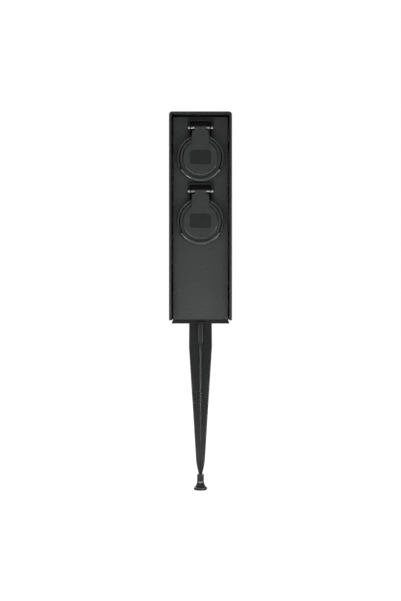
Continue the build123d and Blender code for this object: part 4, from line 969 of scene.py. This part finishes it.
for side, word in ((-1, "Left"), (1, "Right")):
    upperSpring, foot, toe = makeSpring(springPlan, socketPlan["upper"], side)
    upperSpring.name = f"upper{word}Spring"
    lowerSpring = copyPiece(upperSpring, f"lower{word}Spring", (0, 0, pitch))
    for level, spring, drop in (("upper", upperSpring, 0), ("lower", lowerSpring, pitch)):
        spring.data.materials.append(finishes["spring_steel"])
        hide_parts(f"{level}_lid_springs")
        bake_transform(spring)
print("post: pins and springs", len(spring.data.polygons), "faces a spring")

# screws: a turned head with a cross recess, modelled once for each kind and copied
panScrewPlan = {
    "head": 2.9, "high": 1.9, "seatRound": 0.15, "crownShare": 0.55,
    "shank": 1.5, "long": 14, "tipRound": 0.4,
    "slot": 0.7, "slotReach": 1.9, "slotDeep": 1.0, "slotTaper": 0.45, "slotPast": 0.6,
}
flatScrewPlan = {
    "head": 2.8, "high": 0, "rim": 0.1, "shank": 1.5, "long": 9, "tipRound": 0.4,
    "slot": 0.7, "slotReach": 1.4, "slotDeep": 0.9, "slotTaper": 0.45, "slotPast": 0.6,
}
baseScrewPlan = dict(flatScrewPlan, head=2.7, long=11)


def panOutline(plan):
    head, shank, high = plan["head"], plan["shank"], plan["high"]
    return [(0, -plan["long"]), (shank, -plan["long"], plan["tipRound"]), (shank, 0),
            (head, 0, plan["seatRound"]), (head, high, high * plan["crownShare"]), (0, high)]


def flatOutline(plan):
    head, shank, rim = plan["head"], plan["shank"], plan["rim"]
    return [(0, -plan["long"]), (shank, -plan["long"], plan["tipRound"]), (shank, shank - head),
            (head - rim, -rim), (head - rim, 0), (0, 0)]


def makeScrew(name, plan, outline, place, along):
    across = Vector((0, 0, 1) if abs(along[2]) < 0.5 else (1, 0, 0))
    place, along = Vector(place), Vector(along)
    screw = turnProfile(name, outline, place, across, along)
    # two tapering blades cut the driver's recess
    top = place + along * (plan["high"] + plan["slotPast"])
    bottom = place + along * (plan["high"] - plan["slotDeep"])
    sides = [across, along.cross(across)]
    for wide, thin in (sides, sides[::-1]):
        long = wide * plan["slotReach"]
        short = long * plan["slotTaper"]
        half = thin * (plan["slot"] / 2)
        corners = [top + long - half, top - long - half, bottom - short - half, bottom + short - half]
        cutAway(screw, extrudeOutline("crossBlade", corners, half * 2))
    smoothShading(screw, angle=40)
    return screw


def spreadScrews(first, places, name, nodeName):
    # copies the screw made at the first place to every place, then removes it
    for number, place in enumerate(places, 1):
        shift = [b - a for a, b in zip(places[0], place)]
        putInPlace(copyPiece(first, f"{name}{number}", shift), "post", nodeName)
    bpy.data.objects.remove(first)


coverScrews = {"side": 28.2, "back": 26.5, "heights": (242.9, 160.25, 9.8)}
coverPlaces = [(side * coverScrews["side"], coverScrews["back"], height)
               for height in coverScrews["heights"] for side in (1, -1)]
first = makeScrew("panScrew", panScrewPlan, panOutline(panScrewPlan), coverPlaces[0], (0, 1, 0))
spreadScrews(first, coverPlaces, "coverScrew", "rear_cover_screws")

lowHeight, highHeight = hoodPlan["screwHeights"]
for side, word in ((1, "Right"), (-1, "Left")):
    place = (side * hoodPlan["half"], 0, lowHeight)
    low = makeScrew("hoodScrewLow" + word, flatScrewPlan, flatOutline(flatScrewPlan), place, (side, 0, 0))
    high = copyPiece(low, "hoodScrewHigh" + word, (0, 0, highHeight - lowHeight))
    putInPlace(low, "post", "hood_screws")
    putInPlace(high, "post", "hood_screws")

baseScrews = {"side": 16.1, "level": 0}
basePlaces = [(x * baseScrews["side"], y * baseScrews["side"], baseScrews["level"])
              for x in (1, -1) for y in (1, -1)]
first = makeScrew("flatScrew", baseScrewPlan, flatOutline(baseScrewPlan), basePlaces[0], (0, 0, -1))
spreadScrews(first, basePlaces, "baseScrew", "base_cap_screws")
print("post: screws in place")

low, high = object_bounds()
print("post: done")
